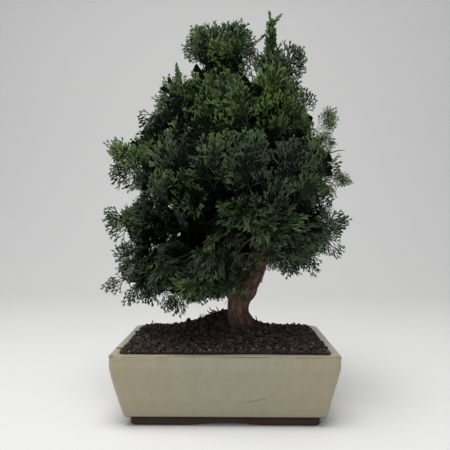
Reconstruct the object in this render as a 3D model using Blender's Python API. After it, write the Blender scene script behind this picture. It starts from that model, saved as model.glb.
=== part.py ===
"""False cypress bonsai in a glazed rectangular pot.

The tree is a short flared trunk that leans to the right, turns back and runs up through the crown.
Tapering boughs leave it on all sides, and each one carries a mass of fan-shaped sprays.
Metres, +Z up. The pot stands on Z = 0, and the long side of the pot lies along X with its front at -Y.
Places in the tables are measured from the pot's middle, at a level a little above its underside.
"""

import math
import random
from collections import namedtuple

import bmesh
import bpy
from mathutils import Matrix, Vector

# The pot, and where its middle stands so that the whole plant is centred on the origin
UNDERSIDE = -0.0034
POT_CENTRE = Vector((-0.0031, 0.0005, -UNDERSIDE))
POT_WIDTH = 0.257
POT_DEPTH = 0.168
POT_HEIGHT = 0.080
WALL_TAPER = 0.0134
CORNER_RADIUS = 0.006
LIP_HEIGHT = 0.006
LIP_ROUND = 0.0015
RIM_WIDTH = 0.0115
FLOOR_THICKNESS = 0.009
FOOT_HEIGHT = 0.0079
FOOT_INSET = 0.008
FOOT_WIDTH = 0.014
ARCH_RISE = 0.003
ARCH_ACROSS = 0.094
ARCH_DEEP = 0.062
DRAIN_RADIUS = 0.010
DRAIN_SPACING = 0.110
CORNER_STEPS = 3

# The soil heaps up behind and to the left of the trunk
SOIL_EDGE_DROP = 0.003
SOIL_RINGS = 7
SIDE_STEPS = 5
MOUND_RISE = 0.031
MOUND_TOP = Vector((0.000, 0.016))
MOUND_LEFT, MOUND_RIGHT, MOUND_DEEP = 0.062, 0.034, 0.038

# Gap that touching solids keep
GAP = 0.0003
GROUND = 0.086

# Trunk stations from the flat cut to the tip: x, y, z, radius
TRUNK = (
    (0.018, -0.006, GROUND, 0.0195),
    (0.018, -0.006, 0.091, 0.0178),
    (0.018, -0.006, 0.101, 0.0152),
    (0.016, -0.006, 0.115, 0.0124),
    (0.0175, -0.006, 0.128, 0.0128),
    (0.026, -0.006, 0.141, 0.0116),
    (0.034, -0.004, 0.153, 0.0102),
    (0.041, 0.000, 0.167, 0.0090),
    (0.044, 0.004, 0.185, 0.0080),
    (0.038, 0.006, 0.211, 0.0072),
    (0.030, 0.004, 0.248, 0.0062),
    (0.026, 0.000, 0.293, 0.0052),
    (0.026, 0.000, 0.343, 0.0042),
    (0.018, 0.000, 0.384, 0.0032),
    (0.006, -0.001, 0.408, 0.0024),
)
TRUNK_SIDES = 12
FLARE_LOBES = 5
FLARE_DEPTH = 0.16
FLARE_HEIGHT = 0.030

BOUGH_SIDES = 6
BOUGH_SPANS = 4
BOUGH_TIP = 0.0016
BOUGH_LIFT = 0.10
CORE_SHARE = 0.58
CORE_IN_BODY = 0.84
CORE_ROUGHNESS = 0.10
CORE_CLEARANCE = 0.0008
LIMB_CLEARANCE = 0.0010
ENTRY_SHARE = 0.78
LEAST_BOUGH = 0.014
STEM_SIDES = 5
SPRAY_ROOT = 0.34
SPRAY_THICKNESS = 0.0016
SPRAY_ROOT_WIDTH = 0.0024
SPRAY_SPREAD = math.radians(52)
SPRAY_WIDTH = 0.95
SPRAY_SPACING = 0.0350
SPRAY_TILT = 0.20
LEAST_SPRAY = 0.018
STEP = 0.0015

# The inner body of the crown, where the masses close up: height, middle along X, half width and half depth
CROWN = (
    (0.140, -0.080, 0.040, 0.055),
    (0.190, -0.056, 0.082, 0.080),
    (0.206, -0.016, 0.122, 0.092),
    (0.232, 0.000, 0.138, 0.100),
    (0.252, 0.006, 0.124, 0.102),
    (0.290, 0.000, 0.138, 0.102),
    (0.330, 0.000, 0.134, 0.090),
    (0.380, 0.006, 0.094, 0.068),
    (0.420, 0.014, 0.072, 0.046),
    (0.462, 0.016, 0.050, 0.026),
)

# A mass of foliage: the middle and reach of its space, the height where its bough leaves the trunk,
# the bough's radius there, points that the bough passes, and tips that stand out of its space.
Mass = namedtuple("Mass", "name middle reach leaves bough through leaders", defaults=((), ()))
MASSES = (
    Mass("low_left", (-0.092, -0.004, 0.168), (0.054, 0.050, 0.046), 0.162, 0.0060, (),
         ((-0.157, -0.008, 0.143), (-0.128, -0.010, 0.122))),
    Mass("low_left_front", (-0.044, -0.056, 0.172), (0.050, 0.048, 0.048), 0.126, 0.0072,
         ((0.006, -0.014, 0.138), (-0.002, -0.025, 0.151)), ((-0.060, -0.052, 0.117), (-0.018, -0.070, 0.136))),
    Mass("low_middle", (-0.022, -0.020, 0.166), (0.030, 0.032, 0.036), 0.145, 0.0050, (),
         ((-0.008, -0.030, 0.132),)),
    Mass("low_left_back", (-0.044, 0.060, 0.178), (0.056, 0.050, 0.052), 0.179, 0.0055),
    Mass("low_back", (0.032, 0.080, 0.198), (0.054, 0.044, 0.048), 0.165, 0.0052),
    Mass("low_right_back", (0.094, 0.050, 0.206), (0.050, 0.048, 0.048), 0.188, 0.0050),
    Mass("low_right_front", (0.084, -0.054, 0.212), (0.052, 0.046, 0.044), 0.172, 0.0055, (),
         ((0.070, -0.050, 0.160), (0.104, -0.056, 0.163))),
    Mass("low_right", (0.110, -0.002, 0.224), (0.038, 0.046, 0.044), 0.203, 0.0048, (),
         ((0.158, -0.006, 0.231), (0.144, -0.012, 0.184))),
    Mass("front_low", (0.028, -0.084, 0.240), (0.056, 0.040, 0.036), 0.160, 0.0050,
         ((0.026, -0.030, 0.170), (0.036, -0.043, 0.184), (0.046, -0.055, 0.197))),
    Mass("mid_left_low", (-0.100, 0.000, 0.230), (0.050, 0.048, 0.034), 0.213, 0.0046, (),
         ((-0.157, 0.000, 0.237), (-0.150, -0.006, 0.214))),
    Mass("mid_front_left", (-0.044, -0.062, 0.278), (0.052, 0.048, 0.054), 0.224, 0.0046),
    Mass("mid_back_left", (-0.044, 0.064, 0.282), (0.056, 0.050, 0.056), 0.234, 0.0046),
    Mass("mid_back_right", (0.074, 0.062, 0.290), (0.054, 0.050, 0.054), 0.244, 0.0044),
    Mass("mid_front_right", (0.078, -0.056, 0.294), (0.052, 0.048, 0.050), 0.254, 0.0044),
    Mass("mid_right", (0.106, 0.002, 0.296), (0.042, 0.048, 0.050), 0.264, 0.0042, (),
         ((0.163, -0.002, 0.279), (0.152, 0.000, 0.318), (0.140, -0.006, 0.258))),
    Mass("mid_left", (-0.094, -0.002, 0.310), (0.054, 0.048, 0.048), 0.272, 0.0042, (),
         ((-0.155, -0.004, 0.327), (-0.147, -0.006, 0.280))),
    Mass("mid_front", (0.016, -0.080, 0.306), (0.050, 0.044, 0.044), 0.282, 0.0042),
    Mass("upper_front", (0.002, -0.052, 0.366), (0.046, 0.040, 0.044), 0.318, 0.0036),
    Mass("upper_back", (0.024, 0.054, 0.368), (0.058, 0.044, 0.054), 0.328, 0.0036),
    Mass("upper_right", (0.088, 0.004, 0.354), (0.043, 0.044, 0.044), 0.338, 0.0034, (),
         ((0.145, 0.002, 0.369), (0.110, 0.002, 0.398))),
    Mass("upper_left", (-0.054, -0.002, 0.372), (0.048, 0.044, 0.047), 0.348, 0.0034, (),
         ((-0.112, -0.004, 0.352), (-0.094, -0.004, 0.384), (-0.072, -0.004, 0.414))),
    Mass("upper_front_right", (0.056, -0.044, 0.376), (0.042, 0.040, 0.044), 0.358, 0.0034),
    Mass("top_right", (0.076, 0.002, 0.424), (0.028, 0.030, 0.030), 0.378, 0.0028,
         ((0.042, 0.002, 0.398),), ((0.102, 0.002, 0.441), (0.104, 0.002, 0.424))),
    Mass("top_left", (-0.012, -0.002, 0.458), (0.042, 0.028, 0.024), 0.406, 0.0024, (),
         ((-0.056, -0.004, 0.450), (-0.044, -0.004, 0.475), (0.026, -0.002, 0.474))),
    Mass("top_spire", (0.060, 0.002, 0.456), (0.010, 0.010, 0.020), 0.384, 0.0022,
         ((0.038, 0.010, 0.403), (0.052, 0.008, 0.424)),
         ((0.053, 0.003, 0.4935), (0.071, 0.003, 0.492))),
    Mass("top", (-0.010, 0.000, 0.414), (0.044, 0.038, 0.036), None, None),
)

# A gap that shows sky between the two top masses: a point on its line, the line's way and its radius
SKY_GAP = (Vector((0.027, 0.0, 0.418)), Vector((0.033, 1.0, 0.32)), 0.011)

MATERIALS = {
    "glaze": ((0.29, 0.27, 0.18), 0.25),
    "soil": ((0.010, 0.007, 0.006), 0.95),
    "bark": ((0.052, 0.028, 0.020), 0.85),
    "foliage": ((0.022, 0.050, 0.018), 0.6),
}


def clear_scene():
    for leftover in list(bpy.data.objects):
        bpy.data.objects.remove(leftover)


def material(name):
    colour, roughness = MATERIALS[name]
    made = bpy.data.materials.get(name) or bpy.data.materials.new(name)
    made.use_nodes = True
    shader = made.node_tree.nodes["Principled BSDF"]
    shader.inputs["Base Color"].default_value = (*colour, 1)
    shader.inputs["Roughness"].default_value = roughness
    shader.inputs["Metallic"].default_value = 0.0
    return made


def finished(name, work, finish=None, parent=None):
    """The bmesh as a named object, with its material and under its parent if they are given."""
    mesh = bpy.data.meshes.new(name)
    work.to_mesh(mesh)
    work.free()
    made = bpy.data.objects.new(name, mesh)
    bpy.context.scene.collection.objects.link(made)
    if finish:
        mesh.materials.append(material(finish))
    if parent:
        made.parent = parent
    return made


def evaluated(obj):
    """A new mesh with the object's modifiers applied."""
    bpy.context.view_layer.update()
    graph = bpy.context.evaluated_depsgraph_get()
    return bpy.data.meshes.new_from_object(obj.evaluated_get(graph))


def apply_modifiers(obj):
    mesh = evaluated(obj)
    mesh.name = obj.name
    obj.modifiers.clear()
    obj.data = mesh


def cut(obj, *cutters):
    """Takes each cutter's shape away from the object."""
    for cutter in cutters:
        modifier = obj.modifiers.new("cut", "BOOLEAN")
        modifier.operation = "DIFFERENCE"
        modifier.solver = "EXACT"
        modifier.object = cutter
    apply_modifiers(obj)
    for cutter in cutters:
        bpy.data.objects.remove(cutter)


def rounded_rectangle(work, width, depth, radius, z, side_steps=1):
    """Adds a ring of vertices and edges, a rectangle with round corners, and returns its vertices."""
    corners = []
    for turn, (sx, sy) in enumerate(((1, 1), (-1, 1), (-1, -1), (1, -1))):
        middle = Vector((sx * (width / 2 - radius), sy * (depth / 2 - radius), z))
        arc = []
        for step in range(CORNER_STEPS + 1):
            angle = math.radians(90 * (turn + step / CORNER_STEPS))
            arc.append(middle + radius * Vector((math.cos(angle), math.sin(angle), 0)))
        corners.append(arc)
    points = []
    for arc, following in zip(corners, corners[1:] + corners[:1]):
        points += arc
        points += [arc[-1].lerp(following[0], i / side_steps) for i in range(1, side_steps)]
    ring = [work.verts.new(p) for p in points]
    for a, b in zip(ring, ring[1:] + ring[:1]):
        work.edges.new((a, b))
    return ring


def bridge(work, lower, upper):
    """Joins two rings that have the same number of vertices."""
    count = len(lower)
    for i in range(count):
        j = (i + 1) % count
        work.faces.new((lower[i], lower[j], upper[j], upper[i]))


def loft(rings_of, close_first=True, close_last=True):
    """A closed skin over rings that the given function adds to a new bmesh."""
    work = bmesh.new()
    rings = rings_of(work)
    for lower, upper in zip(rings, rings[1:]):
        bridge(work, lower, upper)
    if close_first:
        work.faces.new(rings[0][::-1])
    if close_last:
        work.faces.new(rings[-1])
    bmesh.ops.triangulate(work, faces=work.faces)
    bmesh.ops.recalc_face_normals(work, faces=work.faces)
    return work


def inner_size(z):
    """The width, depth and corner radius of the pot's inside at a height."""
    share = (POT_HEIGHT - z) / (POT_HEIGHT - FOOT_HEIGHT)
    narrowing = 2 * (RIM_WIDTH + WALL_TAPER * share)
    return POT_WIDTH - narrowing, POT_DEPTH - narrowing, max(0.004, CORNER_RADIUS - 0.002)


def pot_rings(work):
    """Rings from the foot up the outside, over the rim and down the inside to the floor."""
    foot = WALL_TAPER + FOOT_INSET
    outside = (
        (foot + 0.001, UNDERSIDE),
        (foot, UNDERSIDE + 0.002),
        (foot, FOOT_HEIGHT),
        (WALL_TAPER + 0.003, FOOT_HEIGHT),
        (WALL_TAPER, FOOT_HEIGHT + 0.002),
        (0.0007, POT_HEIGHT - LIP_HEIGHT),
        (0.0, POT_HEIGHT - LIP_ROUND),
        (LIP_ROUND, POT_HEIGHT),
    )
    rings = [
        rounded_rectangle(work, POT_WIDTH - 2 * i, POT_DEPTH - 2 * i, CORNER_RADIUS, z)
        for i, z in outside
    ]
    floor = FOOT_HEIGHT + FLOOR_THICKNESS
    for z, round_off in ((POT_HEIGHT, LIP_ROUND), (POT_HEIGHT - LIP_ROUND, 0.0), (floor, 0.0)):
        width, depth, radius = inner_size(z)
        rings.append(rounded_rectangle(work, width + 2 * round_off, depth + 2 * round_off, radius, z))
    return rings


def prism(outline, ahead, thickness):
    """A closed prism: the outline's points, moved by the thickness along a direction."""
    work = bmesh.new()
    face = work.faces.new([work.verts.new(p) for p in outline])
    grown = bmesh.ops.extrude_face_region(work, geom=[face])["geom"]
    moved = [v for v in grown if isinstance(v, bmesh.types.BMVert)]
    bmesh.ops.translate(work, verts=moved, vec=ahead.normalized() * thickness)
    bmesh.ops.recalc_face_normals(work, faces=work.faces)
    return work


def arch_cutter(name, along, across, width):
    """The space under a shallow wave in the foot, run through the whole pot."""
    steps = 10
    length = 0.4
    below = 0.004
    outline = []
    for i in range(steps + 1):
        t = i / steps
        rise = ARCH_RISE * math.sin(math.pi * t) ** 2 * (1.6 - 0.6 * math.sin(math.pi * t) ** 2)
        outline.append(along * (width * (t - 0.5)) + Vector((0, 0, UNDERSIDE + rise)))
    outline += [along * (width / 2 + 0.001) + Vector((0, 0, UNDERSIDE - below)),
                along * (-width / 2 - 0.001) + Vector((0, 0, UNDERSIDE - below))]
    outline = [p - across * (length / 2) for p in outline]
    return finished(name, prism(outline, across, length))


def make_pot(parent):
    pot = finished("pot", loft(pot_rings), "glaze")
    foot = 2 * (WALL_TAPER + FOOT_INSET + FOOT_WIDTH)

    def recess_rings(work):
        width, depth = POT_WIDTH - foot, POT_DEPTH - foot
        levels = (UNDERSIDE - 0.002, FOOT_HEIGHT - 0.002)
        return [rounded_rectangle(work, width, depth, 0.006, z) for z in levels]

    cutters = [
        finished("recess", loft(recess_rings)),
        arch_cutter("long_arch", Vector((1, 0, 0)), Vector((0, 1, 0)), ARCH_ACROSS),
        arch_cutter("short_arch", Vector((0, 1, 0)), Vector((1, 0, 0)), ARCH_DEEP),
    ]
    for side in (-1, 1):
        work = bmesh.new()
        place = Matrix.Translation((side * DRAIN_SPACING / 2, 0, 0.01))
        bmesh.ops.create_cone(work, cap_ends=True, segments=14, radius1=DRAIN_RADIUS,
                              radius2=DRAIN_RADIUS, depth=0.04, matrix=place)
        cutters.append(finished(f"drain_{side}", work))
    cut(pot, *cutters)
    pot.parent = parent
    return pot


def soil_height(x, y, share):
    """The heaped surface: share is 0 at the pot's wall and 1 in the middle."""
    wide = MOUND_LEFT if x < MOUND_TOP.x else MOUND_RIGHT
    heap = math.exp(-((x - MOUND_TOP.x) / wide) ** 2 - ((y - MOUND_TOP.y) / MOUND_DEEP) ** 2)
    base = POT_HEIGHT - SOIL_EDGE_DROP + 0.010 * math.sin(share * math.pi / 2)
    lumps = 0.0012 * math.sin(x * 170 + 1.3) * math.cos(y * 210)
    return base + (MOUND_RISE * heap + lumps) * min(1.0, 1.6 * share)


def soil_rings(work):
    """Rings from the soil's underside up its side and in over the heaped surface."""
    floor = FOOT_HEIGHT + FLOOR_THICKNESS + GAP
    edge = POT_HEIGHT - SOIL_EDGE_DROP
    rings = []
    for z in (floor, edge):
        width, depth, radius = inner_size(z)
        rings.append(rounded_rectangle(work, width - 3 * GAP, depth - 3 * GAP, radius, z, SIDE_STEPS))
    width, depth, radius = inner_size(edge)
    for i in range(1, SOIL_RINGS):
        share = i / SOIL_RINGS
        size = 1 - share
        ring = rounded_rectangle(work, (width - 3 * GAP) * size, (depth - 3 * GAP) * size,
                                 radius * size, 0, SIDE_STEPS)
        for v in ring:
            v.co.z = soil_height(v.co.x, v.co.y, share)
        rings.append(ring)
    return rings


def smooth_path(points, spans):
    """A Catmull-Rom curve through the points, with a number of steps in each span."""
    ends = [points[0] * 2 - points[1], *points, points[-1] * 2 - points[-2]]
    made = []
    for a, b, c, d in zip(ends, ends[1:], ends[2:], ends[3:]):
        for step in range(spans):
            t = step / spans
            made.append(0.5 * (2 * b + (c - a) * t + (2 * a - 5 * b + 4 * c - d) * t * t
                               + (3 * b - a - 3 * c + d) * t ** 3))
    return [*made, points[-1]]


def tube(path, radii, sides, shaped=None):
    """A closed tapering tube round a path. The shaped function scales the radius at a height and angle."""

    def rings_of(work):
        rings = []
        across = Vector((1, 0, 0))
        for i, point in enumerate(path):
            ahead = (path[min(i + 1, len(path) - 1)] - path[max(i - 1, 0)]).normalized()
            if abs(ahead.dot(across)) > 0.9:
                across = ahead.orthogonal()
            across = (across - ahead * across.dot(ahead)).normalized()
            other = ahead.cross(across)
            ring = []
            for side in range(sides):
                angle = math.tau * side / sides
                radius = radii[i] * (shaped(point.z, angle) if shaped else 1)
                ring.append(work.verts.new(point + radius * (across * math.cos(angle)
                                                             + other * math.sin(angle))))
            rings.append(ring)
        return rings

    return loft(rings_of)


def root_flare(z, angle):
    """Lobes that fade out above the foot of the trunk."""
    share = max(0.0, 1 - (z - GROUND) / FLARE_HEIGHT)
    return 1 + FLARE_DEPTH * share * math.cos(FLARE_LOBES * angle + 0.6)


def trunk_path(swollen=0.0):
    """The trunk's points and radii. A swollen trunk is the cutter that leaves the gap round it."""
    path = [Vector(station[:3]) for station in TRUNK]
    radii = [station[3] + swollen for station in TRUNK]
    if swollen:
        path[0] = path[0] - Vector((0, 0, swollen))
        path[-1] = path[-1] + Vector((0, 0, swollen))
    return path, radii


def trunk_at(z):
    """The point on the trunk's line at a height, and its radius there."""
    for low, high in zip(TRUNK, TRUNK[1:]):
        if low[2] <= z <= high[2]:
            t = (z - low[2]) / (high[2] - low[2])
            return Vector(low[:3]).lerp(Vector(high[:3]), t), low[3] + (high[3] - low[3]) * t
    return Vector(TRUNK[-1][:3]), TRUNK[-1][3]


def walls_of(mass):
    """Planes that part a mass's space from each neighbour's, as a normal and an offset."""
    here = Vector(mass.middle)
    weight = sum(mass.reach) ** 2 / 9
    walls = []
    for other in MASSES:
        if other.name == mass.name:
            continue
        span = Vector(other.middle) - here
        balance = (span.length_squared + weight - sum(other.reach) ** 2 / 9) / (2 * span.length)
        normal = span.normalized()
        walls.append((normal, normal.dot(here) + balance))
    return walls


def within_walls(points, walls, margin=GAP):
    return all(p.dot(normal) < offset - margin for normal, offset in walls for p in points)


def in_body(p, share=1.0):
    """Whether a point is in the inner body of the crown."""
    for low, high in zip(CROWN, CROWN[1:]):
        if low[0] <= p.z <= high[0]:
            t = (p.z - low[0]) / (high[0] - low[0])
            middle, wide, deep = (low[i] + (high[i] - low[i]) * t for i in (1, 2, 3))
            return ((p.x - middle) / wide) ** 2 + (p.y / deep) ** 2 < share * share
    return False


def in_reach(mass, p, share=1.0):
    """Whether a point is within a share of the mass's own round reach."""
    return sum(((a - b) / r) ** 2 for a, b, r in zip(p, mass.middle, mass.reach)) < share * share


def in_gap(p):
    """Whether a point is in the gap that shows sky."""
    point, way, radius = SKY_GAP
    return (p - point).cross(way.normalized()).length < radius


def march(start, ahead, inside):
    """The distance that a line goes before the next step would leave what the test holds inside."""
    far = 0.0
    while inside(start + ahead * (far + STEP)):
        far += STEP
    return far


def inward_point(mass):
    """Where the bough enters the mass, on the side of the trunk."""
    middle = Vector(mass.middle)
    start, radius = trunk_at(mass.leaves)
    if mass.through:
        start = Vector(mass.through[-1])
        radius = 0.0
    span = start - middle
    walls = walls_of(mass)
    far = march(middle, span.normalized(),
                lambda p: in_reach(mass, p, ENTRY_SHARE) and within_walls([p], walls, 0.003))
    return middle + span.normalized() * min(far, span.length - radius - LEAST_BOUGH)


def bough_path(mass):
    """A limb that leaves the trunk, sags a little and turns up as it reaches its mass."""
    start, _ = trunk_at(mass.leaves)
    end = inward_point(mass)
    if mass.through:
        return smooth_path([start, *map(Vector, mass.through), end], 2)
    span = end - start
    sag = Vector((0, 0, -BOUGH_LIFT * span.length))
    return smooth_path([start, start.lerp(end, 0.5) + sag * 0.5, end], BOUGH_SPANS // 2)


def bough_line(mass, swollen=0.0):
    """A bough's points and radii. A swollen bough is the cutter that leaves the gap round it."""
    path = bough_path(mass)
    last = len(path) - 1
    radii = [mass.bough + (BOUGH_TIP - mass.bough) * i / last + swollen for i in range(last + 1)]
    if swollen:
        path[-1] = path[-1] + (path[-1] - path[-2]).normalized() * swollen * 0.9
    return path, radii


def stem_start(mass):
    """Where the mass's own stem begins, just clear of its bough's tip, and the way it points."""
    if mass.leaves is None:
        tip, before = Vector(TRUNK[-1][:3]), Vector(TRUNK[-2][:3])
    else:
        tip, before = bough_path(mass)[-1], bough_path(mass)[-2]
    ahead = (tip - before).normalized()
    return tip + ahead * GAP, ahead


def limb_points(path, radii, step=0.004):
    """Points along a limb with its radius at each, close enough together to measure clearance by."""
    made = []
    for a, b, ra, rb in zip(path, path[1:], radii, radii[1:]):
        count = max(1, math.ceil((b - a).length / step))
        made += [(a.lerp(b, i / count), ra + (rb - ra) * i / count) for i in range(count)]
    return [*made, (path[-1], radii[-1])]


def all_limbs():
    """The trunk and every bough as points with radii, by the name of the mass they feed."""
    limbs = {"trunk": limb_points(*trunk_path())}
    for mass in MASSES:
        if mass.leaves is not None:
            limbs[mass.name] = limb_points(*bough_line(mass))
    return limbs


def clear_of_limbs(points, limbs, margin):
    return all((p - q).length > radius + margin for limb in limbs for q, radius in limb for p in points)


def spread_directions(count, draw):
    """Directions spread evenly over a ball."""
    golden = math.pi * (3 - math.sqrt(5))
    turn = draw.uniform(0, math.tau)
    found = []
    for i in range(count):
        z = 1 - 2 * (i + 0.5) / count
        flat = math.sqrt(1 - z * z)
        found.append(Vector((flat * math.cos(golden * i + turn), flat * math.sin(golden * i + turn), z)))
    return found


def spray(root, ahead, side, length, lobes=3, width=SPRAY_WIDTH):
    """A fan-shaped spray as outline points and the normal of its flat face, with notches between its lobes."""
    normal = ahead.cross(side)
    outline = [root + side * SPRAY_ROOT_WIDTH / 2, root - side * SPRAY_ROOT_WIDTH / 2]
    for i in range(2 * lobes - 1):
        t = i / (lobes - 1) - 1
        angle = SPRAY_SPREAD * t
        far = length * (1 - 0.28 * t * t) * (1.0 if i % 2 == 0 else 0.70)
        outline.append(root + ahead * far * math.cos(angle) + side * far * math.sin(angle) * width)
    return [p - normal * SPRAY_THICKNESS / 2 for p in outline], normal


def rolled_side(ahead, roll):
    """A direction square to a spray's own, turned by the roll from the level."""
    level = ahead.cross(Vector((0, 0, 1)))
    if level.length < 0.2:
        level = ahead.cross(Vector((0, 1, 0)))
    return (Matrix.Rotation(roll, 3, ahead) @ level).normalized()


def grow(mass, limbs):
    """The sprays of a mass, by a rule seeded with its place in the list."""
    draw = random.Random(100 + [m.name for m in MASSES].index(mass.name))
    middle = Vector(mass.middle)
    walls = walls_of(mass)

    def inside(p):
        return within_walls([p], walls) and (in_reach(mass, p) or in_body(p)) and not in_gap(p)

    def exposed(p):
        return within_walls([p], walls) and not in_reach(mass, p) and not in_body(p)

    sprays = []
    for tip in map(Vector, mass.leaders):
        way = (tip - middle).normalized()
        root = middle + way * SPRAY_ROOT * min(mass.reach)
        side = way.cross(Vector((0, 1, 0))).normalized()
        for width in (0.80, 0.65, 0.50, 0.35):
            outline, normal = spray(root, way, side, (tip - root).length, 5, width)
            if within_walls([*outline, *(p + normal * SPRAY_THICKNESS for p in outline)], walls):
                sprays.append((outline, normal))
                break
    area = 4 * math.pi * (sum(mass.reach) / 3) ** 2
    for way in spread_directions(round(area / SPRAY_SPACING ** 2), draw):
        far = march(middle, way, inside)
        tilt = Vector((draw.gauss(0, SPRAY_TILT), draw.gauss(0, SPRAY_TILT), draw.gauss(0, SPRAY_TILT)))
        roll = draw.uniform(-1.2, 1.2)
        full = draw.uniform(0.92, 1.0)
        if not exposed(middle + way * (far + 2 * STEP)):
            continue
        heading = (way + tilt).normalized()
        root = middle + way * far * SPRAY_ROOT
        length = march(root, heading, inside) * full
        side = rolled_side(heading, roll)
        for shrink in (1.0, 0.86, 0.72):
            if length * shrink < LEAST_SPRAY:
                break
            outline, normal = spray(root, heading, side, length * shrink)
            faces = outline + [p + normal * SPRAY_THICKNESS for p in outline]
            probes = [*faces, *(root.lerp(p, 0.5) for p in outline), *(root.lerp(p, 0.75) for p in outline)]
            blocked = any(in_gap(p) for p in faces)
            if within_walls(faces, walls) and clear_of_limbs(probes, limbs, LIMB_CLEARANCE) and not blocked:
                sprays.append((outline, normal))
                break
    return sprays


def core_of(mass, trunk):
    """A rough ball that the sprays stand out of, drawn in where the trunk or another space is near."""
    draw = random.Random(500 + [m.name for m in MASSES].index(mass.name))
    walls = walls_of(mass)
    middle = Vector(mass.middle)
    work = bmesh.new()
    bmesh.ops.create_icosphere(work, subdivisions=2, radius=1.0)
    for v in work.verts:
        share = CORE_SHARE * (1 + draw.uniform(-CORE_ROUGHNESS, CORE_ROUGHNESS))

        def inside(p):
            return (within_walls([p], walls, CORE_CLEARANCE)
                    and (in_reach(mass, p, share) or in_body(p, CORE_IN_BODY))
                    and clear_of_limbs([p], [trunk], 0.004) and not in_gap(p))

        way = v.co.normalized()
        v.co = middle + way * max(0.006, march(middle, way, inside))
    return work


def biggest_shell(obj):
    """Keeps the outer skin alone, which fills a sealed hollow and drops a loose scrap."""
    work = bmesh.new()
    work.from_mesh(obj.data)
    left = set(work.verts)
    shells = []
    while left:
        edge = [left.pop()]
        shell = set(edge)
        while edge:
            for link in edge.pop().link_edges:
                for v in link.verts:
                    if v in left:
                        left.discard(v)
                        shell.add(v)
                        edge.append(v)
        shells.append(shell)
    shells.sort(key=len)
    for shell in shells[:-1]:
        bmesh.ops.delete(work, geom=list(shell), context="VERTS")
    work.to_mesh(obj.data)
    work.free()


def fuse(name, first, others):
    """Joins closed pieces into one solid by a Boolean union on a collection."""
    obj = finished(name, first, "foliage")
    group = bpy.data.collections.new(name + "_pieces")
    bpy.context.scene.collection.children.link(group)
    for i, work in enumerate(others):
        piece = finished(f"{name}_piece_{i}", work)
        bpy.context.scene.collection.objects.unlink(piece)
        group.objects.link(piece)
    modifier = obj.modifiers.new("join", "BOOLEAN")
    modifier.operation = "UNION"
    modifier.solver = "MANIFOLD"
    modifier.operand_type = "COLLECTION"
    modifier.collection = group
    apply_modifiers(obj)
    for piece in list(group.objects):
        bpy.data.objects.remove(piece)
    bpy.data.collections.remove(group)
    biggest_shell(obj)
    return obj


def passes(limb, walls):
    """Whether a limb comes into a mass's space or close beside it."""
    return any(within_walls([p], walls, -radius - 0.002) for p, radius in limb)


def make_mass(mass, limbs, parent):
    """One mass: its stem, core and sprays made one solid, then cut clear of the limbs that pass it."""
    start, _ = stem_start(mass)
    middle = Vector(mass.middle)
    stem = tube([start, start.lerp(middle, 0.5), middle], [BOUGH_TIP * 0.94, BOUGH_TIP, BOUGH_TIP], STEM_SIDES)
    pieces = [prism(outline, normal, SPRAY_THICKNESS)
              for outline, normal in grow(mass, limbs.values())]
    made = fuse(mass.name, core_of(mass, limbs["trunk"]), [stem, *pieces])
    cutters = []
    walls = walls_of(mass)
    for other in MASSES:
        if other.leaves is not None and passes(limbs[other.name], walls):
            path, radii = bough_line(other, GAP)
            cutters.append(finished(other.name + "_gap", tube(path, radii, BOUGH_SIDES)))
    if passes(limbs["trunk"], walls):
        cutters.append(trunk_cutter())
    cut(made, *cutters)
    biggest_shell(made)
    made.parent = parent
    return made


def make_trunk(parent):
    path, radii = trunk_path()
    return finished("trunk", tube(path, radii, TRUNK_SIDES, root_flare), "bark", parent)


def trunk_cutter():
    path, radii = trunk_path(GAP)
    return finished("trunk_gap", tube(path, radii, TRUNK_SIDES, root_flare))


def make_boughs(parent):
    for mass in MASSES:
        if mass.leaves is None:
            continue
        bough = finished(mass.name + "_bough", tube(*bough_line(mass), BOUGH_SIDES), "bark")
        cut(bough, trunk_cutter())
        biggest_shell(bough)
        bough.parent = parent


def make_soil(parent):
    soil = finished("soil", loft(soil_rings), "soil")
    cut(soil, trunk_cutter())
    soil.parent = parent


def main():
    clear_scene()
    plant = bpy.data.objects.new("plant", None)
    bpy.context.scene.collection.objects.link(plant)
    plant.location = POT_CENTRE
    make_pot(plant)
    make_soil(plant)
    make_trunk(plant)
    make_boughs(plant)
    limbs = all_limbs()
    for mass in MASSES:
        make_mass(mass, limbs, plant)


main()
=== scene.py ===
"""The looks of a false cypress bonsai in a glazed rectangular pot.

The foliage is grown again by the rule of the solids and carried on to flat fans of fine branchlets.
Trunk and boughs get a fibrous bark, the pot its glaze, and the soil its crumbs and grit.
Sizes are in metres. Places in the tables are measured from the pot's middle, at a level a little above its
underside.
"""

import math
import random
from collections import defaultdict, namedtuple

import bmesh
import bpy
import numpy as np
from mathutils import Matrix, Vector, noise


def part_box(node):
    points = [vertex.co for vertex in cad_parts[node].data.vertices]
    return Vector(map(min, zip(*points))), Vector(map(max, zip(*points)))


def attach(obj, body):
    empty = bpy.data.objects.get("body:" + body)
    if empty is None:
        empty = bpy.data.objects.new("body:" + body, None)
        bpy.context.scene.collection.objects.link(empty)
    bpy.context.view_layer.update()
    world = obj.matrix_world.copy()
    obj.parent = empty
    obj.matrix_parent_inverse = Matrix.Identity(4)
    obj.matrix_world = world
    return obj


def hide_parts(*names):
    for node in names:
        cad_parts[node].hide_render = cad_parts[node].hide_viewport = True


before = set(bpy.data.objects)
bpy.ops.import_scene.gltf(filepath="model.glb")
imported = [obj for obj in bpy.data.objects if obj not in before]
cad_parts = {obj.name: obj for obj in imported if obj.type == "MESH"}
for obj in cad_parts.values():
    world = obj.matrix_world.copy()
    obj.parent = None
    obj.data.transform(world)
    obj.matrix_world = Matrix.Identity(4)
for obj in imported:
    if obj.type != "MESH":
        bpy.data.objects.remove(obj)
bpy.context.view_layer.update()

# The pot's underside, below the level that heights are measured from
UNDERSIDE = -0.0034
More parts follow.
